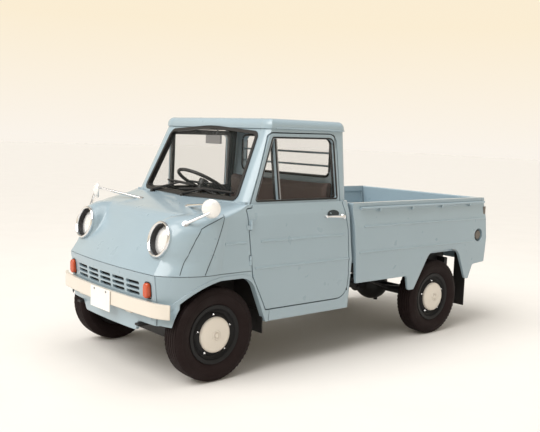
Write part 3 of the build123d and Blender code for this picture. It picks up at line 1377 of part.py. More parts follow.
left_low = (KING_X, STEER_ARM_REACH, tie_low)
left_high = (KING_X, STEER_ARM_REACH, tie_high)
right_low = (-KING_X, STEER_ARM_REACH, tie_low)
right_high = (-KING_X, STEER_ARM_REACH, tie_high)
tie_eyes = [rod(left_low, left_high, TIE_EYE_RADIUS), rod(right_low, right_high, TIE_EYE_RADIUS)]
tie_bores = [
    rod(left_low, left_high, TIE_PIN_RADIUS + HINGE_PIN_GAP),
    rod(right_low, right_high, TIE_PIN_RADIUS + RUNNING_GAP),
]
tie_mid = (tie_low + tie_high) / 2
with BuildPart() as tie_rod:
    add(rod((-KING_X, STEER_ARM_REACH, tie_mid), (KING_X, STEER_ARM_REACH, tie_mid), TIE_ROD_RADIUS))
    add(tie_eyes)
    add(tie_bores, mode=Mode.SUBTRACT)
tie_rod.part.label = "tie_rod"

# Front suspension: an upper and a lower arm and a damper on each side
LOWER_ARM_ROOT = 75.0
UPPER_ARM_ROOT = 42.0


def wishbone(low_z, root):
    """Flat arm from the frame out to an eye round the king post."""
    with BuildPart() as arm:
        with BuildSketch(Plane.XY.offset(low_z)):
            with BuildLine():
                Polyline(
                    (RAIL_OUTER, station(-root)),
                    (KING_X, station(-EYE_RADIUS)),
                    (KING_X, station(EYE_RADIUS)),
                    (RAIL_OUTER, station(root)),
                    close=True,
                )
            make_face()
            with Locations((KING_X, station(0))):
                Circle(EYE_RADIUS)
                Circle(KING_RADIUS + HINGE_PIN_GAP, mode=Mode.SUBTRACT)
        extrude(amount=ARM_THICKNESS)
    return arm.part


damper_foot = (DAMPER_X, DAMPER_STATION, LOWER_ARM_Z + ARM_THICKNESS)
damper = rod(damper_foot, (DAMPER_X, DAMPER_STATION, DAMPER_TOP), DAMPER_RADIUS)
lower_arm = wishbone(LOWER_ARM_Z, LOWER_ARM_ROOT)
upper_arm = wishbone(UPPER_ARM_Z, UPPER_ARM_ROOT)
with BuildPart() as front_suspension:
    add(both_sides([lower_arm, upper_arm, damper]))
front_suspension.part.label = "front_suspension"

# Rear axle: a turned case with its differential, back plates and spindles, on two leaf springs
AXLE_RADIUS = 36.0
DIFF_RADIUS = 124.0
DIFF_HALF = 135.0
DIFF_NOSE = 190.0
DIFF_NOSE_RADIUS = 52.0
PINION_Z = TYRE_RADIUS + 8.0
DRAIN_RADIUS = 16.0
DRAIN_LOW_Z = 132.0
SPRING_DROP = 92.0
SPRING_THICKNESS = 26.0
SPRING_SEAT = 36.0
SPRING_TOP = HANGER_LOW_Z - RUNNING_GAP
plate_outer = PLATE_X + PLATE_THICKNESS
with BuildPart() as axle_case:
    with BuildSketch(Plane.XZ):
        with BuildLine():
            Polyline(
                (-DIFF_HALF, AXLE_RADIUS),
                (-PLATE_X, AXLE_RADIUS),
                (-PLATE_X, PLATE_RADIUS),
                (-plate_outer, PLATE_RADIUS),
                (-plate_outer, SPINDLE_RADIUS),
                (-spindle_end, SPINDLE_RADIUS),
                (-spindle_end, 0),
                (spindle_end, 0),
                (spindle_end, SPINDLE_RADIUS),
                (plate_outer, SPINDLE_RADIUS),
                (plate_outer, PLATE_RADIUS),
                (PLATE_X, PLATE_RADIUS),
                (PLATE_X, AXLE_RADIUS),
                (DIFF_HALF, AXLE_RADIUS),
            )
            ThreePointArc((DIFF_HALF, AXLE_RADIUS), (0, DIFF_RADIUS), (-DIFF_HALF, AXLE_RADIUS))
        make_face()
    revolve(axis=Axis.X)
axle_spot = Location((0, station(WHEELBASE), TYRE_RADIUS))
pinion_nose = rod((0, WHEELBASE - DIFF_NOSE, PINION_Z), (0, WHEELBASE, TYRE_RADIUS), DIFF_NOSE_RADIUS)
drain = rod((0, WHEELBASE + 60, DRAIN_LOW_Z), (0, WHEELBASE + 60, TYRE_RADIUS), DRAIN_RADIUS)
spring_seat = block(
    (SPRING_X - SPRING_WIDTH / 2 - 5, SPRING_X + SPRING_WIDTH / 2 + 5),
    (WHEELBASE - SPRING_SEAT, WHEELBASE + SPRING_SEAT),
    (TYRE_RADIUS, SPRING_TOP - SPRING_DROP + 12),
)
with BuildPart() as leaf_spring:
    with BuildSketch(Plane.YZ.offset(SPRING_X - SPRING_WIDTH / 2)):
        with BuildLine():
            first = (station(HANGER_STATIONS[0]), SPRING_TOP)
            last = (station(HANGER_STATIONS[1]), SPRING_TOP)
            top = ThreePointArc(first, (station(WHEELBASE), SPRING_TOP - SPRING_DROP), last)
            drop = Line(top @ 1, top @ 1 - Vector(0, SPRING_THICKNESS / 2))
            low = ThreePointArc(
                drop @ 1,
                (station(WHEELBASE), SPRING_TOP - SPRING_DROP - SPRING_THICKNESS),
                top @ 0 - Vector(0, SPRING_THICKNESS / 2),
            )
            Line(low @ 1, top @ 0)
        make_face()
    extrude(amount=SPRING_WIDTH)
with BuildPart() as rear_axle:
    add(axle_case.part.moved(axle_spot))
    add(pinion_nose)
    add(drain)
    add(both_sides([spring_seat, leaf_spring.part]))
rear_axle.part.label = "rear_axle"

# Engine, gearbox and propeller shaft as one plain mass under the seat
ENGINE_LOW_Z = 235.0
ENGINE_TOP_Z = 600.0
GEARBOX_REAR = 1240.0
GEARBOX_HALF = 110.0
GEARBOX_LOW_Z = 270.0
SHAFT_RADIUS = 28.0
SHAFT_END_GAP = 4.0
GEARBOX_OUT_Z = 350.0
shaft_end = WHEELBASE - DIFF_NOSE - SHAFT_END_GAP
gearbox_x = (-GEARBOX_HALF, GEARBOX_HALF)
driveline_bars = [
    block((-ENGINE_HALF, ENGINE_HALF), (ENGINE_FRONT, ENGINE_REAR), (ENGINE_LOW_Z, ENGINE_TOP_Z)),
    block(gearbox_x, (ENGINE_REAR, GEARBOX_REAR), (GEARBOX_LOW_Z, FLOOR_Z - CROSS_INSET)),
    rod((0, GEARBOX_REAR - SHAFT_END_GAP, GEARBOX_OUT_Z), (0, shaft_end, PINION_Z), SHAFT_RADIUS),
] + both_sides([block((ENGINE_HALF, RAIL_INNER), (700, 760), (CAB_RAIL_TOP - 60, CAB_RAIL_TOP - 20))])
with BuildPart() as driveline:
    add(driveline_bars)
driveline.part.label = "driveline"

# Exhaust silencer and pipes beside the shaft
MUFFLER_X = -180.0
MUFFLER_Z = 385.0
MUFFLER_RADIUS = 62.0
MUFFLER = (WHEELBASE - 670.0, WHEELBASE - 280.0)
MUFFLER_HANGER = WHEELBASE - 600.0
exhaust_bars = [
    rod((MUFFLER_X, MUFFLER[0], MUFFLER_Z), (MUFFLER_X, MUFFLER[1], MUFFLER_Z), MUFFLER_RADIUS),
    rod((MUFFLER_X, ENGINE_REAR, MUFFLER_Z), (MUFFLER_X, MUFFLER[0], MUFFLER_Z), 19),
    rod((MUFFLER_X, MUFFLER[1], MUFFLER_Z + 20), (MUFFLER_X, FRAME_REAR + 30, MUFFLER_Z + 20), 17),
    block(
        (MUFFLER_X - 12, MUFFLER_X + 12),
        (MUFFLER_HANGER - 15, MUFFLER_HANGER + 15),
        (MUFFLER_Z + MUFFLER_RADIUS - 8, FRAME_HIGH_Z + 5),
    ),
]
with BuildPart() as exhaust:
    add(exhaust_bars)
exhaust.part.label = "exhaust"

# Fuel tank hung under the deck behind the axle
TANK_LOW_Z = 420.0
with BuildPart() as fuel_tank:
    add(block((-130, RAIL_INNER - 8), (WHEELBASE + 185, WHEELBASE + 420), (TANK_LOW_Z, BED_FLOOR_LOW)))
    fillet(fuel_tank.edges().filter_by(Axis.X), 40)
fuel_tank.part.label = "fuel_tank"

os.makedirs("parts", exist_ok=True)
CAB = [nose_panel, front_apron, front_fender_left, front_fender_right, cab_side_left, cab_side_right]
CAB += [roof_panel, cab_back, cab_floor, cab_glass, window_rubbers, wipers, fender_mirrors, front_bumper]
CAB += [headlamp_rims, headlamp_lenses, indicator_lamps]
INSIDE = [seat_cushion, seat_back, dashboard, controls, steering_wheel]
DOORS = [door_left, door_glass_left, door_handle_left, door_right, door_glass_right, door_handle_right]
BED = [bed_floor, bed_side_left, bed_side_right, bed_front, tailgate, rope_rails, tail_lamps, fuel_cap]
RUNNING_GEAR = [frame, front_suspension, knuckle_left, knuckle_right, tie_rod, rear_axle]
UNDERNEATH = [driveline, exhaust, fuel_tank, mud_flaps]
for piece in CAB + INSIDE + DOORS + BED + RUNNING_GEAR + UNDERNEATH + wheel_nodes:
    export_step(piece.part, "parts/" + piece.part.label + ".step")
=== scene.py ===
"""Looks of the kei truck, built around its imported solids. Metres, the same frame as the solids."""

import json
from math import atan2, cos, pi, radians, sin, sqrt

import bpy
from mathutils import Matrix, Vector


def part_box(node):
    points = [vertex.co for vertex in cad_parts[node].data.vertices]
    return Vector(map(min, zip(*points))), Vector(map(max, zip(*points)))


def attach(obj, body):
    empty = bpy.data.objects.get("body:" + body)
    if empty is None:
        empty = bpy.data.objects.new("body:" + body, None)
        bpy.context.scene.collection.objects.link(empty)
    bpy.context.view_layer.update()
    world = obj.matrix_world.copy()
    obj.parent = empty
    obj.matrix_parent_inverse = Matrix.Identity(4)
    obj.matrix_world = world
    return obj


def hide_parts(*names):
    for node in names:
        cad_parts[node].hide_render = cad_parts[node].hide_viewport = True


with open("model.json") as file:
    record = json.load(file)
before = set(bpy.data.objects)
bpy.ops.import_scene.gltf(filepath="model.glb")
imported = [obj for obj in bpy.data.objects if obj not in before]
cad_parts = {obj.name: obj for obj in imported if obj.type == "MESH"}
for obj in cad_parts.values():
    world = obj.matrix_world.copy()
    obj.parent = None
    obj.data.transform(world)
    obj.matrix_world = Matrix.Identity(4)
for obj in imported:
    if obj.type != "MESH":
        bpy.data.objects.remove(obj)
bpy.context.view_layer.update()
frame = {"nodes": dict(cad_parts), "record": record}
NODES = frame["nodes"]

# What trim can be laid on: the solids, and later the lamp fairings
SKINS = dict(NODES)

# Camera of the photograph: where it looks, from which side, how far away, and its lens
AIM = Vector((0.0, -0.1848, 0.8568))
AZIMUTH = radians(49.298)
ELEVATION = radians(6.089)
ROLL = radians(2.092)
DISTANCE = 5.3492
FOCAL_PIXELS = 762.71
PHOTO_WIDTH = 540.0
SENSOR = 36.0

# Colours, as linear values
BODY_BLUE = (0.300, 0.392, 0.452)
SEAM_SHADE = (0.020, 0.030, 0.036)
CAB_SHADE_AND_UNDERSEAL = (0.020, 0.017, 0.017)
# Painted shade inside the cab, and the colour of the cab floor's underseal
CREAM = (0.68, 0.63, 0.56)
BLACK_PAINT = (0.010, 0.010, 0.011)
RUBBER_BLACK = (0.010, 0.009, 0.009)
TYRE_BLACK = (0.012, 0.006, 0.006)
CAST_GREY = (0.060, 0.060, 0.065)
DULL_STEEL = (0.16, 0.145, 0.13)
BRIGHT_PLATE = (0.82, 0.82, 0.83)
SATIN_GREY = (0.30, 0.30, 0.31)
CUP_TONE = (0.86, 0.85, 0.84)
LENS_TONE = (0.86, 0.87, 0.88)
GLASS_TONE = (0.10, 0.12, 0.12)
AMBER = (0.50, 0.065, 0.012)
LAMP_RED = (0.42, 0.008, 0.008)
VINYL_BROWN = (0.12, 0.082, 0.074)
DARK_TRIM = (0.018, 0.016, 0.016)
PLATE_WHITE = (0.80, 0.79, 0.76)
FLOOR_TONE = (0.79, 0.77, 0.745)
HORIZON_TONE = (0.963, 0.905, 0.825)
WALL_TONE = (0.965, 0.850, 0.655)
CEILING_TONE = (0.46, 0.45, 0.43)
KEY_TONE = (1.0, 0.98, 0.95)

# Texture of every finish
CLOUD_SCALE = 2.2
GLOSS_SCALE = 11.0
GLOSS_SPREAD = 0.1
SMEAR_SCALE = 6.0
SMEAR_GLOSS = (0.02, 0.05)
GRAIN_HEIGHT = 0.0006
COAT_GLOSS = 0.08
BEVEL_SAMPLES = 6
SOLID_SHARP = radians(28)

# The cab's inner space, where its surfaces are painted dark as shade: half width low and high up, then its
# front, back and roof
INSIDE_SHADE_HALF = (0.588, 0.540)
INSIDE_SHADE_HEIGHTS = (1.0, 1.47)
INSIDE_SHADE_SLOPE = 0.464
INSIDE_SHADE_FOOT_Y = -1.3474
INSIDE_SHADE_BACK_Y = -0.090
INSIDE_SHADE_ROOF_Z = 1.507


def node_tree(name):
    """New material with a principled shader. Returns the material, its nodes, its links and the shader."""
    material = bpy.data.materials.new(name)
    material.use_nodes = True
    tree = material.node_tree
    return material, tree.nodes, tree.links, tree.nodes["Principled BSDF"]


def noise(nodes, links, scale, detail=3.0):
    """Noise over the object's own space."""
    coordinates = nodes.new("ShaderNodeTexCoord")
    texture = nodes.new("ShaderNodeTexNoise")
    texture.inputs["Scale"].default_value = scale
    texture.inputs["Detail"].default_value = detail
    links.new(coordinates.outputs["Object"], texture.inputs["Vector"])
    return texture.outputs["Fac"]


def remap(nodes, links, value, low, high, start=0.3, end=0.7):
    """A value between start and end spread over low to high."""
    spread = nodes.new("ShaderNodeMapRange")
    spread.inputs["From Min"].default_value = start
    spread.inputs["From Max"].default_value = end
    spread.inputs["To Min"].default_value = low
    spread.inputs["To Max"].default_value = high
    links.new(value, spread.inputs["Value"])
    return spread.outputs["Result"]


def arithmetic(nodes, links, operation, first, second):
    """One operation on two values, each a socket or a number."""
    step = nodes.new("ShaderNodeMath")
    step.operation = operation
    for socket, value in zip(step.inputs, (first, second)):
        if isinstance(value, float):
            socket.default_value = value
        else:
            links.new(value, socket)
    return step.outputs["Value"]


def tinted(nodes, links, value, dark, light):
    """Colour that runs from dark to light with a value."""
    mix = nodes.new("ShaderNodeMix")
    mix.data_type = "RGBA"
    for socket, tone in ((mix.inputs["A"], dark), (mix.inputs["B"], light)):
        if isinstance(tone, tuple):
            socket.default_value = (*tone, 1.0)
        else:
            links.new(tone, socket)
    links.new(value, mix.inputs["Factor"])
    return mix.outputs["Result"]


def shaded(colour, factor):
    """A colour made darker or lighter."""
    return tuple(min(1.0, channel * factor) for channel in colour)


def cab_shade_mask(nodes, links):
    """1 on what lies inside the cab's inner space, where shade is painted, 0 elsewhere, from the place on the
    solid.
    """
    coordinates = nodes.new("ShaderNodeTexCoord")
    split = nodes.new("ShaderNodeSeparateXYZ")
    links.new(coordinates.outputs["Object"], split.inputs["Vector"])
    x, y, z = split.outputs["X"], split.outputs["Y"], split.outputs["Z"]
    wall = remap(nodes, links, z, *INSIDE_SHADE_HALF, *INSIDE_SHADE_HEIGHTS)
    across = arithmetic(nodes, links, "ABSOLUTE", x, 0.0)
    within = arithmetic(nodes, links, "LESS_THAN", across, wall)
    leaning = arithmetic(nodes, links, "SUBTRACT", y, arithmetic(nodes, links, "MULTIPLY", z, INSIDE_SHADE_SLOPE))
    for test in (
        arithmetic(nodes, links, "GREATER_THAN", leaning, INSIDE_SHADE_FOOT_Y),
        arithmetic(nodes, links, "LESS_THAN", y, INSIDE_SHADE_BACK_Y),
        arithmetic(nodes, links, "LESS_THAN", z, INSIDE_SHADE_ROOF_Z),
    ):
        within = arithmetic(nodes, links, "MULTIPLY", within, test)
    return within


def surface(
    name,
    colour,
    roughness,
    variation=0.08,
    grain=600.0,
    bump=0.15,
    metallic=0.0,
    coat=0.0,
    edge=0.0,
    inside=None,
    gleam=0.5,
):
    """Finish with clouded colour, uneven gloss and fine grain, and soft edges or painted shade on what lies
    inside the cab if asked.
    """
    material, nodes, links, shader = node_tree(name)
    shader.inputs["Metallic"].default_value = metallic
    shader.inputs["Coat Weight"].default_value = coat
    shader.inputs["Specular IOR Level"].default_value = gleam
    shader.inputs["Coat Roughness"].default_value = COAT_GLOSS
    cloud = noise(nodes, links, CLOUD_SCALE, 2.0)
    share = remap(nodes, links, cloud, 0.0, 1.0)
    tone = tinted(nodes, links, share, shaded(colour, 1 - variation), shaded(colour, 1 + variation))
    # Painted shade: what lies inside the cab takes the dark colour in place of its own
    if inside:
        tone = tinted(nodes, links, cab_shade_mask(nodes, links), tone, inside)
    links.new(tone, shader.inputs["Base Color"])
    gloss = noise(nodes, links, GLOSS_SCALE, 5.0)
    least, most = roughness * (1 - GLOSS_SPREAD), roughness * (1 + GLOSS_SPREAD)
    links.new(remap(nodes, links, gloss, least, most), shader.inputs["Roughness"])
    relief = nodes.new("ShaderNodeBump")
    relief.inputs["Strength"].default_value = bump
    relief.inputs["Distance"].default_value = GRAIN_HEIGHT
    links.new(noise(nodes, links, grain, 2.0), relief.inputs["Height"])
    if edge:
        soft = nodes.new("ShaderNodeBevel")
        soft.samples = BEVEL_SAMPLES
        soft.inputs["Radius"].default_value = edge
        links.new(soft.outputs["Normal"], relief.inputs["Normal"])
    links.new(relief.outputs["Normal"], shader.inputs["Normal"])
    return material


def window_glass(name, alpha):
    """Thin clear pane with a faint smear in its gloss."""
    material, nodes, links, shader = node_tree(name)
    shader.inputs["Base Color"].default_value = (*GLASS_TONE, 1.0)
    shader.inputs["Alpha"].default_value = alpha
    smear = noise(nodes, links, SMEAR_SCALE)
    links.new(remap(nodes, links, smear, *SMEAR_GLOSS), shader.inputs["Roughness"])
    return material


BODY_FINISH = {"variation": 0.02, "bump": 0.02, "coat": 0.5}
# Body paint, painted dark as shade on all its surfaces inside the cab
PAINT = surface("body_paint", BODY_BLUE, 0.30, edge=0.004, inside=CAB_SHADE_AND_UNDERSEAL, **BODY_FINISH)
SKIN_PAINT = surface("skin_paint", BODY_BLUE, 0.30, **BODY_FINISH)
# Dark of the seams and joints, also used as the painted shade of the door handle's recess
SEAM_DARK_AND_SHADE = surface("seam_shade", SEAM_SHADE, 0.55, variation=0.1, bump=0.05)
UNDERSEAL = surface("underseal", CAB_SHADE_AND_UNDERSEAL, 0.70, variation=0.2, bump=0.4)
CREAM_PAINT = surface("cream_paint", CREAM, 0.32, variation=0.03, bump=0.04, coat=0.35, edge=0.008)
CHASSIS_PAINT = surface("black_paint", BLACK_PAINT, 0.55, variation=0.25, bump=0.3, edge=0.002)
RUBBER = surface("black_rubber", RUBBER_BLACK, 0.50, variation=0.2, bump=0.2, edge=0.002)
TYRE = surface("tyre_rubber", TYRE_BLACK, 0.75, variation=0.15, bump=0.3, gleam=0.2)
CASTING = surface(
    "cast_metal", CAST_GREY, 0.62, variation=0.3, grain=260.0, bump=0.6, metallic=0.4, edge=0.004
)
STEEL = surface("tank_steel", DULL_STEEL, 0.50, variation=0.3, bump=0.3, metallic=0.7, edge=0.003)
CHROME = surface("chrome", BRIGHT_PLATE, 0.12, variation=0.03, bump=0.02, metallic=1.0)
CUP_WHITE = surface("mirror_cup", CUP_TONE, 0.22, variation=0.02, bump=0.02, metallic=0.25, coat=0.6)
SATIN = surface("satin_frame", SATIN_GREY, 0.35, variation=0.06, bump=0.1, metallic=0.6)
AMBER_LENS = surface("amber_lens", AMBER, 0.22, variation=0.1, bump=0.1, coat=0.4)
RED_LENS = surface("red_lens", LAMP_RED, 0.2, variation=0.1, bump=0.1, coat=0.5)
LENS = surface("lamp_glass", LENS_TONE, 0.16, variation=0.05, bump=0.1, metallic=0.35, coat=0.8)
VINYL = surface("seat_vinyl", VINYL_BROWN, 0.50, variation=0.12, grain=420.0, bump=0.15)
TRIM = surface("dark_plastic", DARK_TRIM, 0.42, variation=0.15, grain=500.0, bump=0.3, edge=0.002)
WHEEL_BLACK = surface("wheel_paint", BLACK_PAINT, 0.45, variation=0.2, bump=0.1, gleam=0.2)
PLATE_FACE = surface("plate_white", PLATE_WHITE, 0.4, variation=0.02, bump=0.1, edge=0.001)
GLASS = window_glass("window_glass", 0.06)
FINISHES = {
    "body_paint": PAINT,
    "cream_paint": CREAM_PAINT,
    "black_paint": CHASSIS_PAINT,
    "cast_metal": CASTING,
    "tank_steel": STEEL,
    "chrome": CHROME,
    "lamp_glass": LENS,
    "window_glass": GLASS,
    "amber_lens": AMBER_LENS,
    "red_lens": RED_LENS,
    "black_rubber": RUBBER,
    "seat_vinyl": VINYL,
    "dark_plastic": TRIM,
    "tyre_rubber": TYRE,
    "wheel_paint": WHEEL_BLACK,
}
OWN_FINISH = {"cab_floor": UNDERSEAL}


def dress_nodes():
    """Gives each solid of the frame the finish of its slot."""
    slots = {row["node"]: row["material_slot"] for row in frame["record"]["subparts"]}
    for name, node in NODES.items():
        node.data.materials.clear()
        node.data.materials.append(OWN_FINISH.get(name, FINISHES[slots[name]]))
        node.data.shade_smooth()
        node.data.set_sharp_from_angle(angle=SOLID_SHARP)


class Pile:
    """Collects simple shapes into one mesh."""

    def __init__(self):
        self.points = []
        self.faces = []

    def add(self, points, faces):
        """Points with faces that count from the first of them."""
        start = len(self.points)
        self.points += [tuple(p) for p in points]
        self.faces += [tuple(start + i for i in face) for face in faces]

    def grid(self, rows, close_rows=False, close_ring=True):
        """Skin over rows of points, each row a ring."""
        count = len(rows[0])
        faces = []
        for r in range(len(rows) if close_rows else len(rows) - 1):
            for c in range(count if close_ring else count - 1):
                a = r * count + c
                b = r * count + (c + 1) % count
                shift = ((r + 1) % len(rows) - r) * count
                faces.append((a, b, b + shift, a + shift))
        self.add([p for row in rows for p in row], faces)

    def lathe(self, profile, spot, segments=96):
        """Turns (along, radius) rows about the spot's own Z axis."""
        rings = []
        for along, radius in profile:
            ring = []
            for i in range(segments):
                turn = 2 * pi * i / segments
                ring.append(spot @ Vector((radius * cos(turn), radius * sin(turn), along)))
            rings.append(ring)
        self.grid(rings)

    def tube(self, path, radius, sides=12, closed=False):
        """Round bar along points, with flat ends unless it is closed. One radius, or one for each point."""
        path = [Vector(p) for p in path]
        radii = radius if isinstance(radius, list) else [radius] * len(path)
        turns = [2 * pi * k / sides for k in range(sides)]
        rings = []
        for i, point in enumerate(path):
            if closed:
                along = path[(i + 1) % len(path)] - path[i - 1]
            else:
                along = path[min(i + 1, len(path) - 1)] - path[max(i - 1, 0)]
            across = along.cross(Vector((0, 0, 1)) if abs(along.normalized().z) < 0.9 else Vector((1, 0, 0)))
            across.normalize()
            up = across.cross(along).normalized()
            rings.append([point + radii[i] * (cos(t) * across + sin(t) * up) for t in turns])
        self.grid(rings, close_rows=closed)
        if not closed:
            self.add(rings[0], [tuple(range(sides))])
            self.add(rings[-1], [tuple(reversed(range(sides)))])

    def slab(self, low, high):
        """Box between two corners."""
        corners = [(x, y, z) for x in (low[0], high[0]) for y in (low[1], high[1]) for z in (low[2], high[2])]
        sides = [(0, 1, 3, 2), (4, 6, 7, 5), (0, 4, 5, 1), (2, 3, 7, 6), (0, 2, 6, 4), (1, 5, 7, 3)]
        self.add(corners, sides)

    def strip(self, first, width, lift):
        """Thin flat band from a path to one beside it, standing lift off towards the side."""
        rows = [[p, p + width, p + width + lift, p + lift] for p in first]
        self.grid(rows)
        self.add(rows[0], [(0, 1, 2, 3)])
        self.add(rows[-1], [(3, 2, 1, 0)])

    def build(self, name, material, body, slot, bevel=0.0, smooth=35.0):
        """The collected mesh as one piece that rides on a body."""
        mesh = bpy.data.meshes.new(name)
        mesh.from_pydata(self.points, [], self.faces)
        mesh.materials.append(material)
        mesh.validate()
        piece = bpy.data.objects.new(name, mesh)
        bpy.context.scene.collection.objects.link(piece)
        if bevel:
            edge = piece.modifiers.new("soft_edge", "BEVEL")
            edge.width = bevel
            edge.segments = 3
            edge.limit_method = "ANGLE"
        mesh.shade_smooth()
        mesh.set_sharp_from_angle(angle=radians(smooth))
        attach(piece, body)
        return piece


FRONT_AXLE = -1.090
SIDES = (("left", 1), ("right", -1))
FORWARD = Vector((0, -1, 0))
REARWARD = Vector((0, 1, 0))
DOWN = Vector((0, 0, -1))

# Places clear of the panels that lines are cast from: metres, then stations and a height
CLEAR_X = 1.2
CLEAR_FRONT_Y = -2.0
CLEAR_BED_Y = 0.6
CLEAR_CAB_Y = -0.5
CLEAR_AHEAD = -700.0
SCREEN_AHEAD = -600.0
GRILLE_BEHIND = -150.0
CLEAR_ABOVE = 1300.0


def at(x, station, height):
    """Point from metres across, and millimetres rearwards of the front axle and above the ground."""
    return Vector((x, FRONT_AXLE + station / 1000, height / 1000))


def middle(node):
    """Centre of a node's box."""
    low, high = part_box(node)
    return (low + high) / 2


def outward_spot(centre, direction):
    """Placement whose Z axis points along direction."""
    return Matrix.Translation(centre) @ Vector(direction).to_track_quat("Z", "Y").to_matrix().to_4x4()


def landing(names, start, direction):
    """Nearest place where a line meets the named skins and the surface's direction there, or None."""
    best = None
    for name in names:
        found, place, normal, _ = SKINS[name].ray_cast(start, direction)
        if found and (best is None or (place - start).length < (best[0] - start).length):
            best = (place, normal)
    return best


def from_side(names, sign, rows):
    """Places on the skins' outer side face at (station, height) rows."""
    places = []
    for station, height in rows:
        found = landing(names, at(sign * CLEAR_X, station, height), Vector((-sign, 0, 0)))
        if found:
            places.append(found[0])
    return places


def levelled(places, reach=3):
    """The same places, each as far out to the side as the outermost of its neighbours."""
    smooth = []
    for i, place in enumerate(places):
        near = places[max(0, i - reach) : i + reach + 1]
        out = max(abs(p.x) for p in near)
        smooth.append(Vector((out if place.x > 0 else -out, place.y, place.z)))
    return smooth


def rounded(rows, steps=6, closed=True):
    """Points of a polyline of (a, b, corner radius) rows with its corners turned as arcs."""
    count = len(rows)
    points = []
    for i, (a, b, radius) in enumerate(rows):
        here = Vector((a, b))
        if not radius or (not closed and i in (0, count - 1)):
            points.append((a, b))
            continue
        before = (Vector(rows[i - 1][:2]) - here).normalized()
        after = (Vector(rows[(i + 1) % count][:2]) - here).normalized()
        half = before.angle(after) / 2
        reach = radius / max(sin(half) / cos(half), 1e-6)
        start, end = here + before * reach, here + after * reach
        for k in range(steps + 1):
            t = k / steps
            spot = (1 - t) ** 2 * start + 2 * t * (1 - t) * here + t * t * end
            points.append((spot.x, spot.y))
    return points


def filled(rows, step=30.0, closed=False):
    """The same path with points no further apart than about a step."""
    ends = rows[1:] + rows[:1] if closed else rows[1:]
    points = []
    for (a, b), (c, d) in zip(rows, ends):
        parts = max(1, int(sqrt((c - a) ** 2 + (d - b) ** 2) / step))
        points += [(a + (c - a) * k / parts, b + (d - b) * k / parts) for k in range(parts)]
    return points if closed else points + [rows[-1]]


def circle(count):
    """Angles of evenly spaced points on a circle."""
    return [2 * pi * k / count for k in range(count)]


WHEEL_NAMES = ("front_left", "front_right", "rear_left", "rear_right")

# Tyre: half section as across and radius, from the bead to the widest place and on to the shoulder
BEAD_ROWS = [(0.046, 0.155), (0.046, 0.171), (0.050, 0.176), (0.062, 0.190), (0.069, 0.208)]
WIDEST_RADIUS = 0.222
WALL_ROWS = [(0.070, 0.234), (0.0715, 0.236), (0.0700, 0.238), (0.067, 0.252), (0.0625, 0.262)]
SHOULDER = 0.058
SHOULDER_DROP = 0.004
CROWN_DROP = 0.0035
RIB_EDGES = (0.050, 0.030, 0.010)
GROOVE_HALF = 0.0026
GROOVE_FOOT_HALF = GROOVE_HALF * 0.7
GROOVE_DEPTH = 0.008
BLOCK_COUNT = 60
BLOCK_STEPS = 3
BLOCK_CUT = 0.005
BLOCK_LEAST_RADIUS = 0.2615
BLOCK_LEAST_ACROSS = 0.0555

# Wheel and hub cap, as along the axle and radius
RIM_ROWS = [(-0.062, 0.0221), (-0.062, 0.108), (0.010, 0.108), (0.010, 0.136), (-0.050, 0.142)]
RIM_ROWS += [(-0.052, 0.171), (-0.048, 0.173), (-0.045, 0.168), (-0.044, 0.154), (0.044, 0.154)]
RIM_ROWS += [(0.045, 0.168), (0.048, 0.174), (0.053, 0.172), (0.052, 0.160), (0.049, 0.150), (0.040, 0.145)]
RIM_ROWS += [(0.034, 0.138), (0.030, 0.128), (0.036, 0.120), (0.042, 0.112), (0.044, 0.102), (0.040, 0.060)]
RIM_ROWS += [(0.040, 0.0221)]
CAP_ROWS = [(0.042, 0.1035), (0.050, 0.1045), (0.057, 0.1030), (0.0625, 0.097), (0.0665, 0.084)]
CAP_ROWS += [(0.0690, 0.062), (0.0700, 0.040), (0.0695, 0.0290), (0.0740, 0.0270), (0.0750, 0.0235)]
CAP_ROWS += [(0.0720, 0.0205), (0.0690, 0.0180), (0.0690, 0.0150), (0.0740, 0.0120), (0.0765, 0.006)]
CAP_ROWS += [(0.0770, 0.0)]
WHEEL_SEGMENTS = 120
NUT_ROWS = [(0.0, 0.0085), (0.006, 0.0085), (0.009, 0.007), (0.012, 0.004), (0.0125, 0.0)]
NUT_COUNT = 5
NUT_CIRCLE = 0.119
NUT_SEAT = 0.036
NUT_TURN = 0.3


def wheel_spot(name):
    """Placement at a wheel's centre, its Z axis along the axle and out of the truck."""
    centre = middle("tyre_" + name)
    return outward_spot(centre, (1 if centre.x > 0 else -1, 0, 0))


def tyre_section(outer, half):
    """Closed section of a tyre as across and radius: walls, shoulders and grooved tread."""
    tread = [(SHOULDER, outer - SHOULDER_DROP)]
    for edge in RIB_EDGES:
        crown = outer - CROWN_DROP * (edge / SHOULDER) ** 2
        tread += [(edge + GROOVE_HALF, crown), (edge + GROOVE_FOOT_HALF, crown - GROOVE_DEPTH)]
        tread += [(edge - GROOVE_FOOT_HALF, crown - GROOVE_DEPTH), (edge - GROOVE_HALF, crown)]
    half_section = BEAD_ROWS + [(half, WIDEST_RADIUS)] + WALL_ROWS + tread
    return half_section + [(-across, radius) for across, radius in reversed(half_section)]


def tyre_piece(name):
    """Cross-ply tyre: ribbed tread, blocked shoulders and a raised line on the wall."""
    low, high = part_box("tyre_" + name)
    spot = wheel_spot(name)
    rings = []
    for across, radius in tyre_section((high.z - low.z) / 2, (high.x - low.x) / 2):
        notched = radius > BLOCK_LEAST_RADIUS and abs(across) > BLOCK_LEAST_ACROSS
        ring = []
        for k, turn in enumerate(circle(BLOCK_COUNT * BLOCK_STEPS)):
            reach = radius - BLOCK_CUT if notched and k % BLOCK_STEPS == 0 else radius
            ring.append(spot @ Vector((reach * cos(turn), reach * sin(turn), across)))
        rings.append(ring)
    pile = Pile()
    pile.grid(rings, close_rows=True)
    piece = pile.build("tyre_dressed_" + name, TYRE, "wheel_" + name, "tyre_rubber", smooth=40)
    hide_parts("tyre_" + name)


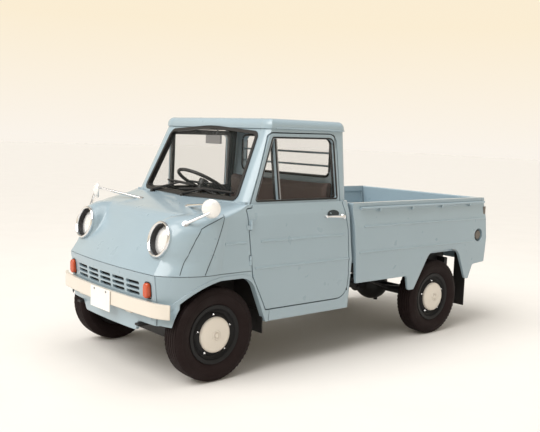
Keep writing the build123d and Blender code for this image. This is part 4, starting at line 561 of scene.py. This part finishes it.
def wheel_piece(name):
    """Black pressed wheel with five nuts, under a cream hub cap with a raised ring."""
    spot = wheel_spot(name)
    body = "wheel_" + name
    pile = Pile()
    pile.lathe(RIM_ROWS + RIM_ROWS[:1], spot, WHEEL_SEGMENTS)
    wheel = pile.build("wheel_dressed_" + name, WHEEL_BLACK, body, "wheel_paint")
    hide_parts("wheel_" + name)
    pile = Pile()
    pile.lathe(CAP_ROWS, spot, WHEEL_SEGMENTS)
    pile.build("hub_cap_" + name, CREAM_PAINT, body, "cream_paint", smooth=50)
    pile = Pile()
    for i in range(NUT_COUNT):
        turn = 2 * pi * (i + NUT_TURN) / NUT_COUNT
        nut = spot @ Matrix.Translation((NUT_CIRCLE * cos(turn), NUT_CIRCLE * sin(turn), NUT_SEAT))
        pile.lathe(NUT_ROWS, nut, 6)
    pile.build("wheel_nuts_" + name, CHROME, body, "chrome")


# Headlamps: place of the left one's rim, its lean, the bowl behind it and the lens
LAMP_PLACE = (0.442, -284.0, 822.0)
LAMP_TILT = radians(14)
LAMP_AXIS = Vector((0, -cos(LAMP_TILT), sin(LAMP_TILT)))
LAMP_SIDE = Vector((1, 0, 0))
LAMP_TOP = LAMP_AXIS.cross(LAMP_SIDE)
LAMP_RIM = 0.103
BOWL_FOOT = -0.0355
BOWL_MOUTH = -0.0012
BOWL_OUTER = 0.0885
BOWL_INNER = 0.0860
LENS_RADIUS = 0.0858
LENS_DOME = 0.024
LENS_SPAN = 0.0887
LENS_RINGS = 14
LENS_SEGMENTS = 120
FLUTE_HEIGHT = 0.0009
FLUTE_PITCH = 0.013

# Fairing round the lamp: its least reach, what is added on the outer upper side, and its curve
FAIRING_LEAST = 0.128
FAIRING_MORE = 0.105
FAIRING_TURN = radians(20)
FAIRING_POWER = 1.4
FAIRING_SHORTER = 0.004
FAIRING_FOOT = 0.0085
FAIRING_CLEAR = 0.3
FAIRING_LIFT = 0.0012
FAIRING_LAP = 0.0005
FAIRING_LEAVE = (0.80, 0.60)
FAIRING_PULL = (0.36, 0.42)
FAIRING_ROWS = 72
FAIRING_STEPS = 12


def lamp_bowl(name, centre):
    """Dark ring between the rim and the lens."""
    bowl = [(BOWL_FOOT, BOWL_OUTER), (BOWL_MOUTH, BOWL_OUTER)]
    bowl += [(BOWL_MOUTH, BOWL_INNER), (BOWL_FOOT, BOWL_INNER)]
    pile = Pile()
    pile.lathe(bowl + bowl[:1], outward_spot(centre, LAMP_AXIS))
    pile.build("lamp_bowl_" + name, RUBBER, "chassis", "black_rubber")


def lamp_lens(name, centre):
    """Domed lens with upright flutes."""
    rings = []
    for i in range(LENS_RINGS + 1):
        radius = LENS_RADIUS * i / LENS_RINGS + 1e-4
        dome = LENS_DOME * (1 - (radius / LENS_SPAN) ** 2)
        ring = []
        for turn in circle(LENS_SEGMENTS):
            across = radius * cos(turn)
            flute = FLUTE_HEIGHT * cos(2 * pi * across / FLUTE_PITCH) if i < LENS_RINGS else 0.0
            along = BOWL_FOOT + dome + flute
            ring.append(centre + LAMP_SIDE * across + LAMP_TOP * radius * sin(turn) + LAMP_AXIS * along)
        rings.append(ring)
    pile = Pile()
    pile.grid(rings)
    return pile.build("lamp_lens_" + name, LENS, "chassis", "lamp_glass", smooth=60)


def fairing_row(centre, sign, turn):
    """One curve of the fairing, from the lamp's rim out to the nose's own skin."""
    way = LAMP_SIDE * (sign * cos(turn)) + LAMP_TOP * sin(turn)
    spread = 0.5 + 0.5 * cos(turn - FAIRING_TURN)
    reach = FAIRING_LEAST + FAIRING_MORE * spread**FAIRING_POWER
    found = None
    while not found:
        found = landing(["nose_panel"], centre + way * reach + LAMP_AXIS * FAIRING_CLEAR, -LAMP_AXIS)
        reach -= FAIRING_SHORTER
    start = centre + way * (LAMP_RIM - FAIRING_LAP) - LAMP_AXIS * FAIRING_FOOT
    end, normal = found
    chord = (end - start).length
    inward = start - end
    inward -= normal * inward.dot(normal)
    leaving = way * FAIRING_LEAVE[0] - LAMP_AXIS * FAIRING_LEAVE[1]
    leave = start + leaving * chord * FAIRING_PULL[0]
    arrive = end + inward.normalized() * chord * FAIRING_PULL[1] + normal * FAIRING_LIFT
    row = []
    for j in range(FAIRING_STEPS + 1):
        t = j / FAIRING_STEPS
        s = 1 - t
        row.append(s**3 * start + 3 * t * s**2 * leave + 3 * t * t * s * arrive + t**3 * end)
    return row


def lamp_pieces(name, sign):
    """Headlamp: dark bowl, fluted lens, and a fairing that runs the pod into the nose. Returns the lens."""
    x, station, height = LAMP_PLACE
    centre = at(sign * x, station, height)
    lamp_bowl(name, centre)
    lens = lamp_lens(name, centre)
    pile = Pile()
    rows = [fairing_row(centre, sign, turn) for turn in circle(FAIRING_ROWS)]
    pile.grid(rows, close_rows=True, close_ring=False)
    skin = pile.build("lamp_fairing_" + name, SKIN_PAINT, "chassis", "body_paint", smooth=80)
    SKINS["fairing_" + name] = skin
    return lens


# Fender mirrors: cup as along and radius, place of the left head, where each cup points, and each stay
# as its foot's place across, its station and its rise at the head
CUP_ROWS = [(-0.003, 0.0), (-0.003, 0.0495), (0.0, 0.0535), (0.004, 0.0540), (0.009, 0.0520), (0.018, 0.0455)]
CUP_ROWS += [(0.026, 0.0340), (0.031, 0.0200), (0.0335, 0.0080), (0.034, 0.0)]
MIRROR_HEAD = (0.650, -82.0, 1006.0)
MIRROR_FACING = {1: Vector((0.70, -0.71, 0)), -1: Vector((-0.42, -0.90, 0))}
STAYS = ((0.555, -186.0, -0.020), (0.270, 24.0, 0.026))
STAY_RADII = [0.0105, 0.0085, 0.0065]
STAY_DEPTH = 0.026
STAY_FOOT_ROWS = [(-0.003, 0.020), (0.004, 0.019), (0.007, 0.012), (0.008, 0.0)]


def mirror_pieces():
    """Fender mirrors: bright cups turned towards the driver, each on two stays with foot plates."""
    cups, stays = Pile(), Pile()
    head_x, head_station, head_height = MIRROR_HEAD
    for name, sign in SIDES:
        facing = MIRROR_FACING[sign]
        head = at(sign * head_x, head_station, head_height)
        cups.lathe(CUP_ROWS, outward_spot(head, facing), 64)
        for x, station, rise in STAYS:
            above = at(sign * x, station, CLEAR_ABOVE)
            foot, normal = landing(["nose_panel", "fairing_" + name], above, DOWN)
            top = head + facing * STAY_DEPTH + Vector((0, 0, rise))
            stays.tube([foot, foot + (top - foot) * 0.5, top], STAY_RADII, 12)
            stays.lathe(STAY_FOOT_ROWS, outward_spot(foot, normal), 24)
    piece = cups.build("mirror_cups", CUP_WHITE, "chassis", "chrome", smooth=50)
    stays.build("mirror_stays", CHROME, "chassis", "chrome")
    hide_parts("fender_mirrors")


# Windscreen and wipers: each wiper's pivot across, and its blade as across and height
SCREEN_LEAN = atan2(0.220, 0.474)
SCREEN_OUT = Vector((0, -cos(SCREEN_LEAN), sin(SCREEN_LEAN)))
WIPERS = (
    (-0.380, ((-0.250, 1094.0), (-0.090, 1088.0), (0.070, 1080.0))),
    (-0.022, ((-0.080, 1048.0), (0.190, 1066.0), (0.455, 1064.0))),
)
PIVOT_STATION = 178.0
PIVOT_ROWS = [(-0.006, 0.016), (0.012, 0.014), (0.020, 0.008), (0.021, 0.0)]
PIVOT_AXIS = (0, -0.3, 1)
PIVOT_HEIGHT = 0.016
BLADE_LIFT = 0.011
BLADE_RADIUS = 0.0055
BRIDGE_LIFT = 0.012
BRIDGE_RADII = [0.006, 0.0095, 0.005]
ARM_RADII = [0.008, 0.006]
ARM_LIFT = 0.004


def on_screen(x, height, lift):
    """Point in front of the windscreen at a height, lifted off the glass."""
    found = landing(["cab_glass", "window_rubbers"], at(x, SCREEN_AHEAD, height), REARWARD)
    return found[0] + SCREEN_OUT * lift


def wiper_pieces():
    """Two wipers across the foot of the screen, with broad blades, arms and pivots on the cowl."""
    pile = Pile()
    for pivot, blade in WIPERS:
        foot, _ = landing(["nose_panel"], at(pivot, PIVOT_STATION, CLEAR_ABOVE), DOWN)
        points = [on_screen(x, z, BLADE_LIFT) for x, z in blade]
        back = [p + SCREEN_OUT * BRIDGE_LIFT for p in points]
        pile.tube(points, BLADE_RADIUS, 8)
        pile.tube(back, BRIDGE_RADII, 10)
        pile.lathe(PIVOT_ROWS, outward_spot(foot, PIVOT_AXIS), 20)
        pile.tube([foot + Vector((0, 0, PIVOT_HEIGHT)), back[1] + SCREEN_OUT * ARM_LIFT], ARM_RADII, 10)
    piece = pile.build("wiper_arms", RUBBER, "chassis", "black_rubber")
    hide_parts("wipers")


# Door: outlines as station, height and corner radius, strips and handle as station and height
WINDOW_ROWS = [(274, 1032, 12), (421, 1408, 20), (932, 1412, 40), (952, 1032, 14)]
FRAME_ROWS = [(186, 992, 8), (234, 1000, 10), (401, 1436, 40), (957, 1442, 62), (978, 1006, 10)]
FRAME_ROWS += [(1025, 830, 60), (1048, 520, 0), (1042, 430, 0)]
SHUT_ROWS = [(186, 990, 0), (230, 650, 0), (236, 596, 60), (318, 440, 0), (350, 384, 0)]
SEAL_SINK = 0.001
SEAL_RADIUS = 0.0055
POST_SEAL = [(450, 1040), (440, 1220), (431, 1400)]
POST_SEAL_WIDTH = 0.009
POST_SEAL_LIFT = 0.004
POST_STRIP = [(460, 1040), (449, 1220), (441, 1400)]
POST_STRIP_WIDTH = 0.008
POST_STRIP_LIFT = 0.005
VENT_FRONT = [(268, 1040), (340, 1222), (414, 1402)]
VENT_SHIFT = 0.009
VENT_LIFT = 0.002
VENT_RADIUS = 0.0025
GRIP = [(812, 925), (850, 926), (900, 924), (950, 920), (968, 918)]
GRIP_LIFTS = (0.018, 0.024, 0.026, 0.022, 0.012)
GRIP_RADII = [0.006, 0.0075, 0.009, 0.0095, 0.010]
LOCK_ROWS = [(-0.002, 0.020), (0.004, 0.0195), (0.010, 0.015), (0.020, 0.012), (0.022, 0.0)]
GRIP_FOOT_ROWS = [(-0.002, 0.012), (0.010, 0.010), (0.022, 0.008), (0.023, 0.0)]
# Painted shade of the handle's recess: centre as station and height, half sizes in millimetres, and lift off
# the door
HANDLE_SHADE_CENTRE = (884, 940)
HANDLE_SHADE_HALF = (52, 24)
HANDLE_SHADE_LIFT = 0.0008
LINE_STEP = 25.0
LINE_SINK = 0.0025
FRAME_LINE_RADIUS = 0.0046
SHUT_LINE_RADIUS = 0.0056


def door_trim(door, name, sign, out):
    """Window seal and the strips of the vent post and the vent's front edge."""
    pile = Pile()
    seal = from_side([door], sign, filled(rounded(WINDOW_ROWS), closed=True))
    pile.tube([p - out * SEAL_SINK for p in seal], SEAL_RADIUS, 8, closed=True)
    post = from_side([door], sign, POST_SEAL)
    pile.strip(post, REARWARD * POST_SEAL_WIDTH, out * POST_SEAL_LIFT)
    pile.build("door_seal_" + name, RUBBER, door, "black_rubber")
    pile = Pile()
    post = from_side([door], sign, POST_STRIP)
    pile.strip(post, REARWARD * POST_STRIP_WIDTH, out * POST_STRIP_LIFT)
    front = from_side([door], sign, VENT_FRONT)
    pile.tube([p + out * VENT_LIFT + REARWARD * VENT_SHIFT for p in front], VENT_RADIUS, 8)
    pile.build("vent_frame_" + name, SATIN, door, "chrome")


def door_handle(door, name, sign, out):
    """Lever with its lock button, over a dark ellipse of painted shade for the handle's recess."""
    pile = Pile()
    grip = from_side([door], sign, GRIP)
    pile.tube([p + out * lift for p, lift in zip(grip, GRIP_LIFTS)], GRIP_RADII, 14)
    pile.lathe(LOCK_ROWS, outward_spot(grip[4], out), 28)
    pile.lathe(GRIP_FOOT_ROWS, outward_spot(grip[0], out), 20)
    handle = pile.build("handle_lever_" + name, CHROME, door, "chrome", smooth=45)
    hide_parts("door_handle_" + name)
    # Painted shade: a dark flat ellipse on the door where the handle's recess falls in shade
    ring = []
    for turn in circle(40):
        ring.append((HANDLE_SHADE_CENTRE[0] + HANDLE_SHADE_HALF[0] * cos(turn), HANDLE_SHADE_CENTRE[1] + HANDLE_SHADE_HALF[1] * sin(turn)))
    shade_patch = from_side([door], sign, ring)
    pile = Pile()
    pile.add([p + out * HANDLE_SHADE_LIFT for p in shade_patch], [tuple(range(len(shade_patch)))])
    pile.build("handle_shade_" + name, SEAM_DARK_AND_SHADE, door, "body_paint")


def door_lines(name, sign, out):
    """Dark lines on the cab where the door shuts: its frame and its front edge."""
    pile = Pile()
    frame_rows = filled(rounded(FRAME_ROWS, closed=False), LINE_STEP)
    frame_line = from_side(["cab_side_" + name, "roof_panel"], sign, frame_rows)
    pile.tube([p - out * LINE_SINK for p in frame_line], FRAME_LINE_RADIUS, 8)
    shut_rows = filled(rounded(SHUT_ROWS, closed=False), LINE_STEP)
    shut_line = from_side(["cab_side_" + name, "front_fender_" + name], sign, shut_rows)
    pile.tube([p - out * LINE_SINK for p in levelled(shut_line)], SHUT_LINE_RADIUS, 8)
    pile.build("door_line_" + name, RUBBER, "chassis", "black_rubber")


def door_pieces(name, sign):
    """All the trim of one door and of its opening."""
    door = "door_" + name
    out = Vector((sign, 0, 0))
    door_trim(door, name, sign, out)
    door_handle(door, name, sign, out)
    door_lines(name, sign, out)


# Seams of the nose as station and height: the cab side's front edge, then the panel ahead of it
NOSE_SEAMS = [
    [(30, 1000), (25, 965), (2, 900), (-28, 820), (-60, 745), (-114, 636)],
    [(24, 958), (-20, 940), (-72, 915), (-120, 890), (-160, 830), (-186, 785), (-248, 640)],
]
SEAM_STEP = 14.0
SEAM_RADIUS = 0.0021
DRIP_STATIONS = range(440, 1041, 40)
DRIP_HEIGHT = 1464.0
DRIP_SINK = 0.001
DRIP_RADIUS = 0.0055


def seam_pieces():
    """Fine lines where the nose's panels meet, and the drip moulding of the roof."""
    lines, drips = Pile(), Pile()
    for name, sign in SIDES:
        skins = ["nose_panel", "cab_side_" + name, "fairing_" + name]
        for rows in NOSE_SEAMS:
            lines.tube(from_side(skins, sign, filled(rows, SEAM_STEP)), SEAM_RADIUS, 6)
        edge = from_side(["roof_panel"], sign, [(s, DRIP_HEIGHT) for s in DRIP_STATIONS])
        drips.tube([p + Vector((-sign * DRIP_SINK, 0, 0)) for p in edge], DRIP_RADIUS, 10)
    lines.build("panel_lines", SEAM_DARK_AND_SHADE, "chassis", "body_paint")
    drips.build("drip_moulding", SKIN_PAINT, "chassis", "body_paint")


# Fender foot: the steered tyre's king pin, its reach across, its radius, and the skin's own sizes
KING_X = 0.455
TYRE_REACH = 0.1715
TYRE_RADIUS = 0.274
FOOT_CLEAR = 0.0125
FOOT_X = (0.509, 0.600)
FOOT_COLUMNS = 12
FOOT_HEIGHTS = (0.352, 0.366, 0.392, 0.420, 0.448)
FOOT_TOP = 0.478
FOOT_SKIN = 0.003
FENDER_EDGE_Z = 0.486
FOOT_SEAM_RADIUS = 0.0025


def fender_foot(name, sign):
    """Skin of the fender ahead of the wheel, kept just outside the steered tyre's path."""
    rows = []
    for z in (*FOOT_HEIGHTS, FOOT_TOP):
        chord = sqrt(TYRE_RADIUS**2 - (z - TYRE_RADIUS) ** 2)
        path = sqrt(chord**2 + TYRE_REACH**2) + FOOT_CLEAR
        front, rear = [], []
        for k in range(FOOT_COLUMNS + 1):
            x = FOOT_X[0] + (FOOT_X[1] - FOOT_X[0]) * k / FOOT_COLUMNS
            y = FRONT_AXLE - sqrt(path**2 - (x - KING_X) ** 2)
            ahead = Vector((sign * x, CLEAR_FRONT_Y, FENDER_EDGE_Z))
            skin = landing(["front_fender_" + name], ahead, REARWARD)
            if skin:
                y = skin[0].y if z == FOOT_TOP else min(y, skin[0].y)
            front.append(Vector((sign * x, y, z)))
            rear.append(Vector((sign * x, y + FOOT_SKIN, z)))
        rows.append(front + rear[::-1])
    pile = Pile()
    pile.grid(rows)
    pile.add(rows[0], [tuple(range(len(rows[0])))])
    pile.add(rows[-1], [tuple(reversed(range(len(rows[-1]))))])
    pile.build("fender_foot_" + name, SKIN_PAINT, "chassis", "body_paint", smooth=50)
    pile = Pile()
    pile.tube([row[0] for row in rows], FOOT_SEAM_RADIUS, 8)
    pile.build("foot_seam_" + name, SEAM_DARK_AND_SHADE, "chassis", "body_paint")


# Front: the black sheet of painted shade behind the grille, the apron's bolts, the indicators' rims and the
# blank plate
GRILLE_HALF = 0.388
GRILLE_HEIGHTS = (478.0, 598.0)
GRILLE_COLUMNS = 16
SHADE_SHEET_SKIN = Vector((0, 0.003, 0))
BOLT_PLACES = ((0.462, 386.0), (-0.405, 386.0))
BOLT_ROWS = [(-0.002, 0.016), (0.002, 0.016), (0.003, 0.010), (0.010, 0.009), (0.012, 0.0)]
INDICATOR_MARGIN = 2
INDICATOR_CORNER = 20
INDICATOR_STEP = 12.0
INDICATOR_RADIUS = 0.0035
PLATE_X = (-0.112, 0.122)
PLATE_Z = (0.358, 0.484)
PLATE_STAND = (0.005, 0.002)
SCREW_X = (-0.065, 0.075)
SCREW_Z = 0.470
SCREW_ROWS = [(0.0, 0.007), (0.003, 0.006), (0.004, 0.0)]


def grille_shade_sheet():
    """Black sheet behind the grille's slots, painted shade for the dark seen through them."""
    rows = []
    for z in GRILLE_HEIGHTS:
        row = []
        for k in range(GRILLE_COLUMNS + 1):
            x = -GRILLE_HALF + 2 * GRILLE_HALF * k / GRILLE_COLUMNS
            found = landing(["front_apron"], at(x, GRILLE_BEHIND, z), FORWARD)
            row.append(found[0] + SHADE_SHEET_SKIN)
        rows.append(row + [p + SHADE_SHEET_SKIN for p in reversed(row)])
    pile = Pile()
    pile.grid(rows)
    pile.build("grille_shade_sheet", RUBBER, "chassis", "black_rubber")


def apron_bolts():
    """Bolt heads low on the apron."""
    pile = Pile()
    for x, z in BOLT_PLACES:
        found = landing(["front_apron"], at(x, CLEAR_AHEAD, z), REARWARD)
        if found:
            pile.lathe(BOLT_ROWS, outward_spot(*found), 18)
    pile.build("apron_bolts", SKIN_PAINT, "chassis", "body_paint")


def indicator_rims():
    """Dark rim on the apron round each indicator lamp."""
    pile = Pile()
    for _, sign in SIDES:
        lamp = [v.co for v in NODES["indicator_lamps"].data.vertices if v.co.x * sign > 0]
        x = (min(p.x for p in lamp) + max(p.x for p in lamp)) / 2
        z = (min(p.z for p in lamp) + max(p.z for p in lamp)) / 2
        wide = (max(p.x for p in lamp) - x) * 1000 + INDICATOR_MARGIN
        tall = (max(p.z for p in lamp) - z) * 1000 + INDICATOR_MARGIN
        corners = [(a * wide, b * tall, INDICATOR_CORNER) for a, b in ((-1, -1), (1, -1), (1, 1), (-1, 1))]
        rim = []
        for a, b in filled(rounded(corners), INDICATOR_STEP, closed=True):
            ahead = Vector((x + a / 1000, CLEAR_FRONT_Y, z + b / 1000))
            found = landing(["front_apron"], ahead, REARWARD)
            if found:
                rim.append(found[0])
        pile.tube(rim, INDICATOR_RADIUS, 8, closed=True)
    pile.build("indicator_rims", RUBBER, "chassis", "black_rubber")


def number_plate():
    """Blank plate on the bumper with two screws."""
    bumper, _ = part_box("front_bumper")
    face = bumper.y - PLATE_STAND[0]
    pile = Pile()
    pile.slab((PLATE_X[0], face, PLATE_Z[0]), (PLATE_X[1], bumper.y - PLATE_STAND[1], PLATE_Z[1]))
    pile.build("number_plate", PLATE_FACE, "chassis", "cream_paint", bevel=0.0012)
    pile = Pile()
    for x in SCREW_X:
        pile.lathe(SCREW_ROWS, outward_spot((x, face, SCREW_Z), FORWARD), 16)
    pile.build("plate_screws", SATIN, "chassis", "chrome")


# Rear window's opening: across, height and corner radius
REAR_WINDOW_ROWS = [(-462, 1159, 50), (-462, 1416, 50), (462, 1416, 50), (462, 1159, 50)]
REAR_WINDOW_STEP = 40.0
REAR_WINDOW_RADIUS = 0.008


def rear_window_piece():
    """Rubber round the rear window on both faces of the cab's back."""
    pile = Pile()
    for start, way in ((CLEAR_BED_Y, FORWARD), (CLEAR_CAB_Y, REARWARD)):
        places = []
        for x, z in filled(rounded(REAR_WINDOW_ROWS), REAR_WINDOW_STEP, closed=True):
            found = landing(["cab_back"], Vector((x / 1000, start, z / 1000)), way)
            if found:
                places.append(found[0])
        pile.tube(places, REAR_WINDOW_RADIUS, 8, closed=True)
    pile.build("rear_window_rubber", RUBBER, "chassis", "black_rubber")


# Inside the cab: the mirror's box and stem, the dials as across and radius, and their ring as along
# and share of the radius
MIRROR_BOX = ((-0.112, -0.676, 1.352), (0.048, -0.662, 1.408))
MIRROR_STEM = [(-0.032, -0.662, 1.392), (-0.032, -0.640, 1.430), (-0.032, -0.620, 1.500)]
STEM_RADIUS = 0.005
DIALS = ((-0.285, 0.052), (-0.150, 0.014), (-0.110, 0.014), (0.060, 0.014))
DIAL_ROWS = ((-0.004, 1.0), (0.006, 1.0), (0.006, 0.86), (0.002, 0.80), (0.002, 0.0))
DIAL_Z = 0.932


def cab_pieces():
    """Inner mirror on its stem and the dials and knobs of the dashboard."""
    pile = Pile()
    pile.slab(*MIRROR_BOX)
    pile.tube(MIRROR_STEM, STEM_RADIUS, 10)
    pile.build("inner_mirror", SATIN, "chassis", "chrome", bevel=0.006)
    pile = Pile()
    for x, radius in DIALS:
        found = landing(["dashboard"], Vector((x, 0.0, DIAL_Z)), FORWARD)
        if found:
            ring = [(along, radius * share) for along, share in DIAL_ROWS]
            pile.lathe(ring, outward_spot(found[0], REARWARD), 32)
    pile.build("dash_dials", SATIN, "chassis", "chrome")


# Bed: the latches' place and size, and the ring round the fuel cap
LATCH_STATION = 2548.0
LATCH_HEIGHT = 900.0
LATCH_LOW = Vector((0.004, 0.016, 0.030))
LATCH_HIGH = Vector((0.004, 0.012, 0.030))
FUEL_RING_MARGIN = 0.006
FUEL_RING_RADIUS = 0.0045


def bed_pieces():
    """Tailgate latches at the bed's rear corners and the ring round the fuel cap."""
    pile = Pile()
    for name, sign in SIDES:
        (spot,) = from_side(["bed_side_" + name], sign, [(LATCH_STATION, LATCH_HEIGHT)])
        pile.slab(spot - LATCH_LOW, spot + LATCH_HIGH)
    pile.build("tailgate_latches", STEEL, "chassis", "tank_steel", bevel=0.002)
    pile = Pile()
    cap = middle("fuel_cap")
    low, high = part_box("fuel_cap")
    reach = (high.z - low.z) / 2 + FUEL_RING_MARGIN
    places = []
    for turn in circle(40):
        beside = Vector((CLEAR_X, cap.y + reach * cos(turn), cap.z + reach * sin(turn)))
        places.append(landing(["bed_side_left"], beside, Vector((-1, 0, 0)))[0])
    pile.tube(places, FUEL_RING_RADIUS, 8, closed=True)
    pile.build("fuel_cap_ring", SEAM_DARK_AND_SHADE, "chassis", "body_paint")


# Bench: remesh size, room left for the swelling, its cap, and the sewn channels
CUSHION_VOXEL = 0.009
CUSHION_SHRINK = 0.010
CUSHION_CAP = 0.022
CUSHION_MARGIN = 0.0005
CLOTH_QUALITY = 4
CLOTH_FRAMES = 20
CLOTH_PRESSURE = 4.0
CHANNELS = 2
CHANNEL_HALF = 0.016
CHANNEL_DEPTH = 0.007


def bake(piece):
    """Applies the piece's modifiers to its mesh."""
    graph = bpy.context.evaluated_depsgraph_get()
    solved = bpy.data.meshes.new_from_object(piece.evaluated_get(graph))
    piece.modifiers.clear()
    piece.data = solved


def swell(piece):
    """Blows the piece up as cloth and caps how far each point moves."""
    rest = [v.co.copy() for v in piece.data.vertices]
    cloth = piece.modifiers.new("cloth", "CLOTH")
    cloth.settings.quality = CLOTH_QUALITY
    cloth.settings.use_pressure = True
    cloth.settings.uniform_pressure_force = CLOTH_PRESSURE
    cloth.settings.effector_weights.gravity = 0.0
    cloth.point_cache.frame_start = 1
    cloth.point_cache.frame_end = CLOTH_FRAMES
    for step in range(1, CLOTH_FRAMES + 1):
        bpy.context.scene.frame_set(step)
    bake(piece)
    bpy.context.scene.frame_set(1)
    for vertex, start in zip(piece.data.vertices, rest):
        move = vertex.co - start
        if move.length > CUSHION_CAP:
            vertex.co = start + move.normalized() * CUSHION_CAP


def sew(piece, low, high, along):
    """Presses the seams between the channels in and keeps the piece inside its solid's box."""
    centre = (low + high) / 2
    span = high.x - low.x
    for vertex in piece.data.vertices:
        place = vertex.co.copy()
        part = (place.x - low.x) / span * CHANNELS
        valley = abs(part - round(part)) * span / CHANNELS
        if 0.5 < part < CHANNELS - 0.5 and valley < CHANNEL_HALF:
            depth = CHANNEL_DEPTH * (1 - valley / CHANNEL_HALF) ** 2
            if along == "z" and place.z > centre.z:
                place.z -= depth
            if along == "y" and place.y < centre.y:
                place.y += depth
        inside = [min(max(place[i], low[i] + CUSHION_MARGIN), high[i] - CUSHION_MARGIN) for i in range(3)]
        vertex.co = Vector(inside)


def cushion_piece(node, name, along):
    """Padded bench part: the solid's own form, swollen as stitched vinyl and sewn into channels."""
    low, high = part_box(node)
    centre = (low + high) / 2
    size = high - low
    source = NODES[node].data.copy()
    piece = bpy.data.objects.new(name, source)
    bpy.context.scene.collection.objects.link(piece)
    share = [1 - 2 * CUSHION_SHRINK / size[i] for i in range(3)]
    for vertex in source.vertices:
        offset = vertex.co - centre
        vertex.co = centre + Vector([offset[i] * share[i] for i in range(3)])
    remesh = piece.modifiers.new("remesh", "REMESH")
    remesh.mode = "VOXEL"
    remesh.voxel_size = CUSHION_VOXEL
    bake(piece)
    swell(piece)
    sew(piece, low, high, along)
    finer = piece.modifiers.new("finer", "SUBSURF")
    finer.levels = 1
    finer.render_levels = 1
    piece.data.materials.clear()
    piece.data.materials.append(VINYL)
    piece.data.shade_smooth()
    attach(piece, "chassis")
    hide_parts(node)


def camera():
    """The photograph's own view."""
    back = Vector((sin(AZIMUTH) * cos(ELEVATION), -cos(AZIMUTH) * cos(ELEVATION), sin(ELEVATION)))
    level = (-back).cross(Vector((0, 0, 1))).normalized()
    above = level.cross(-back)
    right = cos(ROLL) * level + sin(ROLL) * above
    up = -sin(ROLL) * level + cos(ROLL) * above
    data = bpy.data.cameras.new("photo_camera")
    data.sensor_width = SENSOR
    data.sensor_fit = "HORIZONTAL"
    data.lens = FOCAL_PIXELS / PHOTO_WIDTH * SENSOR
    view = bpy.data.objects.new("photo_camera", data)
    view.matrix_world = Matrix((right, up, back)).transposed().to_4x4()
    view.matrix_world.translation = AIM + back * DISTANCE
    bpy.context.scene.collection.objects.link(view)
    bpy.context.scene.camera = view


# Studio: the floor's reach, the sine of the elevations where the wall's tones change, and the lights
FLOOR_REACH = 60.0
HORIZON_BAND = (-0.01, 0.14)
CEILING_BAND = (0.22, 0.60)
KEY_WAY = Vector((0.02, 0.66, -0.75))
KEY_POWER = 2.75
KEY_SPREAD = radians(50)
TOP_SPOT = Vector((0.3, 0.0, 5.5))
TOP_SIZE = 4.0
TOP_POWER = 90


def studio_light(name, kind, way, spot, power):
    """Lamp of a kind that shines along a way. Returns its data."""
    data = bpy.data.lights.new(name, kind)
    data.energy = power
    data.color = KEY_TONE
    lamp = bpy.data.objects.new(name, data)
    lamp.location = spot
    lamp.rotation_euler = way.to_track_quat("-Z", "Y").to_euler()
    bpy.context.scene.collection.objects.link(lamp)
    return data


def floor_piece():
    """Plain pale floor."""
    mesh = bpy.data.meshes.new("studio_floor")
    corners = [(a * FLOOR_REACH, b * FLOOR_REACH, 0) for a, b in ((-1, -1), (1, -1), (1, 1), (-1, 1))]
    mesh.from_pydata(corners, [], [(0, 1, 2, 3)])
    mesh.materials.append(surface("studio_floor", FLOOR_TONE, 0.85, variation=0.01, bump=0.02))
    floor = bpy.data.objects.new("studio_floor", mesh)
    bpy.context.scene.collection.objects.link(floor)


def surroundings():
    """Warm wall that meets the floor in its own tone and is darker overhead."""
    world = bpy.data.worlds.new("studio")
    world.use_nodes = True
    nodes, links = world.node_tree.nodes, world.node_tree.links
    direction = nodes.new("ShaderNodeTexCoord")
    split = nodes.new("ShaderNodeSeparateXYZ")
    links.new(direction.outputs["Generated"], split.inputs["Vector"])
    rise = remap(nodes, links, split.outputs["Z"], 0.0, 1.0, *HORIZON_BAND)
    wall = tinted(nodes, links, rise, HORIZON_TONE, WALL_TONE)
    share = remap(nodes, links, split.outputs["Z"], 0.0, 1.0, *CEILING_BAND)
    links.new(tinted(nodes, links, share, wall, CEILING_TONE), nodes["Background"].inputs["Color"])
    nodes["Background"].inputs["Strength"].default_value = 1.0
    bpy.context.scene.world = world


def studio():
    """Pale floor, warm surroundings, a broad key from ahead and a soft box overhead."""
    floor_piece()
    surroundings()
    key = studio_light("key", "SUN", KEY_WAY, (0, 0, 0), KEY_POWER)
    key.angle = KEY_SPREAD
    top = studio_light("top", "AREA", -TOP_SPOT, TOP_SPOT, TOP_POWER)
    top.shape = "RECTANGLE"
    top.size = top.size_y = TOP_SIZE
    bpy.context.scene.view_settings.view_transform = "Standard"


bpy.context.view_layer.update()
dress_nodes()
for wheel_name in WHEEL_NAMES:
    tyre_piece(wheel_name)
    wheel_piece(wheel_name)
lenses = [lamp_pieces(name, sign) for name, sign in SIDES]
bpy.context.view_layer.update()
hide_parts("headlamp_lenses")
for side_name, side_sign in SIDES:
    door_pieces(side_name, side_sign)
    fender_foot(side_name, side_sign)
mirror_pieces()
wiper_pieces()
seam_pieces()
grille_shade_sheet()
apron_bolts()
indicator_rims()
number_plate()
rear_window_piece()
cab_pieces()
bed_pieces()
cushion_piece("seat_cushion", "bench_cushion", "z")
cushion_piece("seat_back", "bench_back", "y")
camera()
studio()
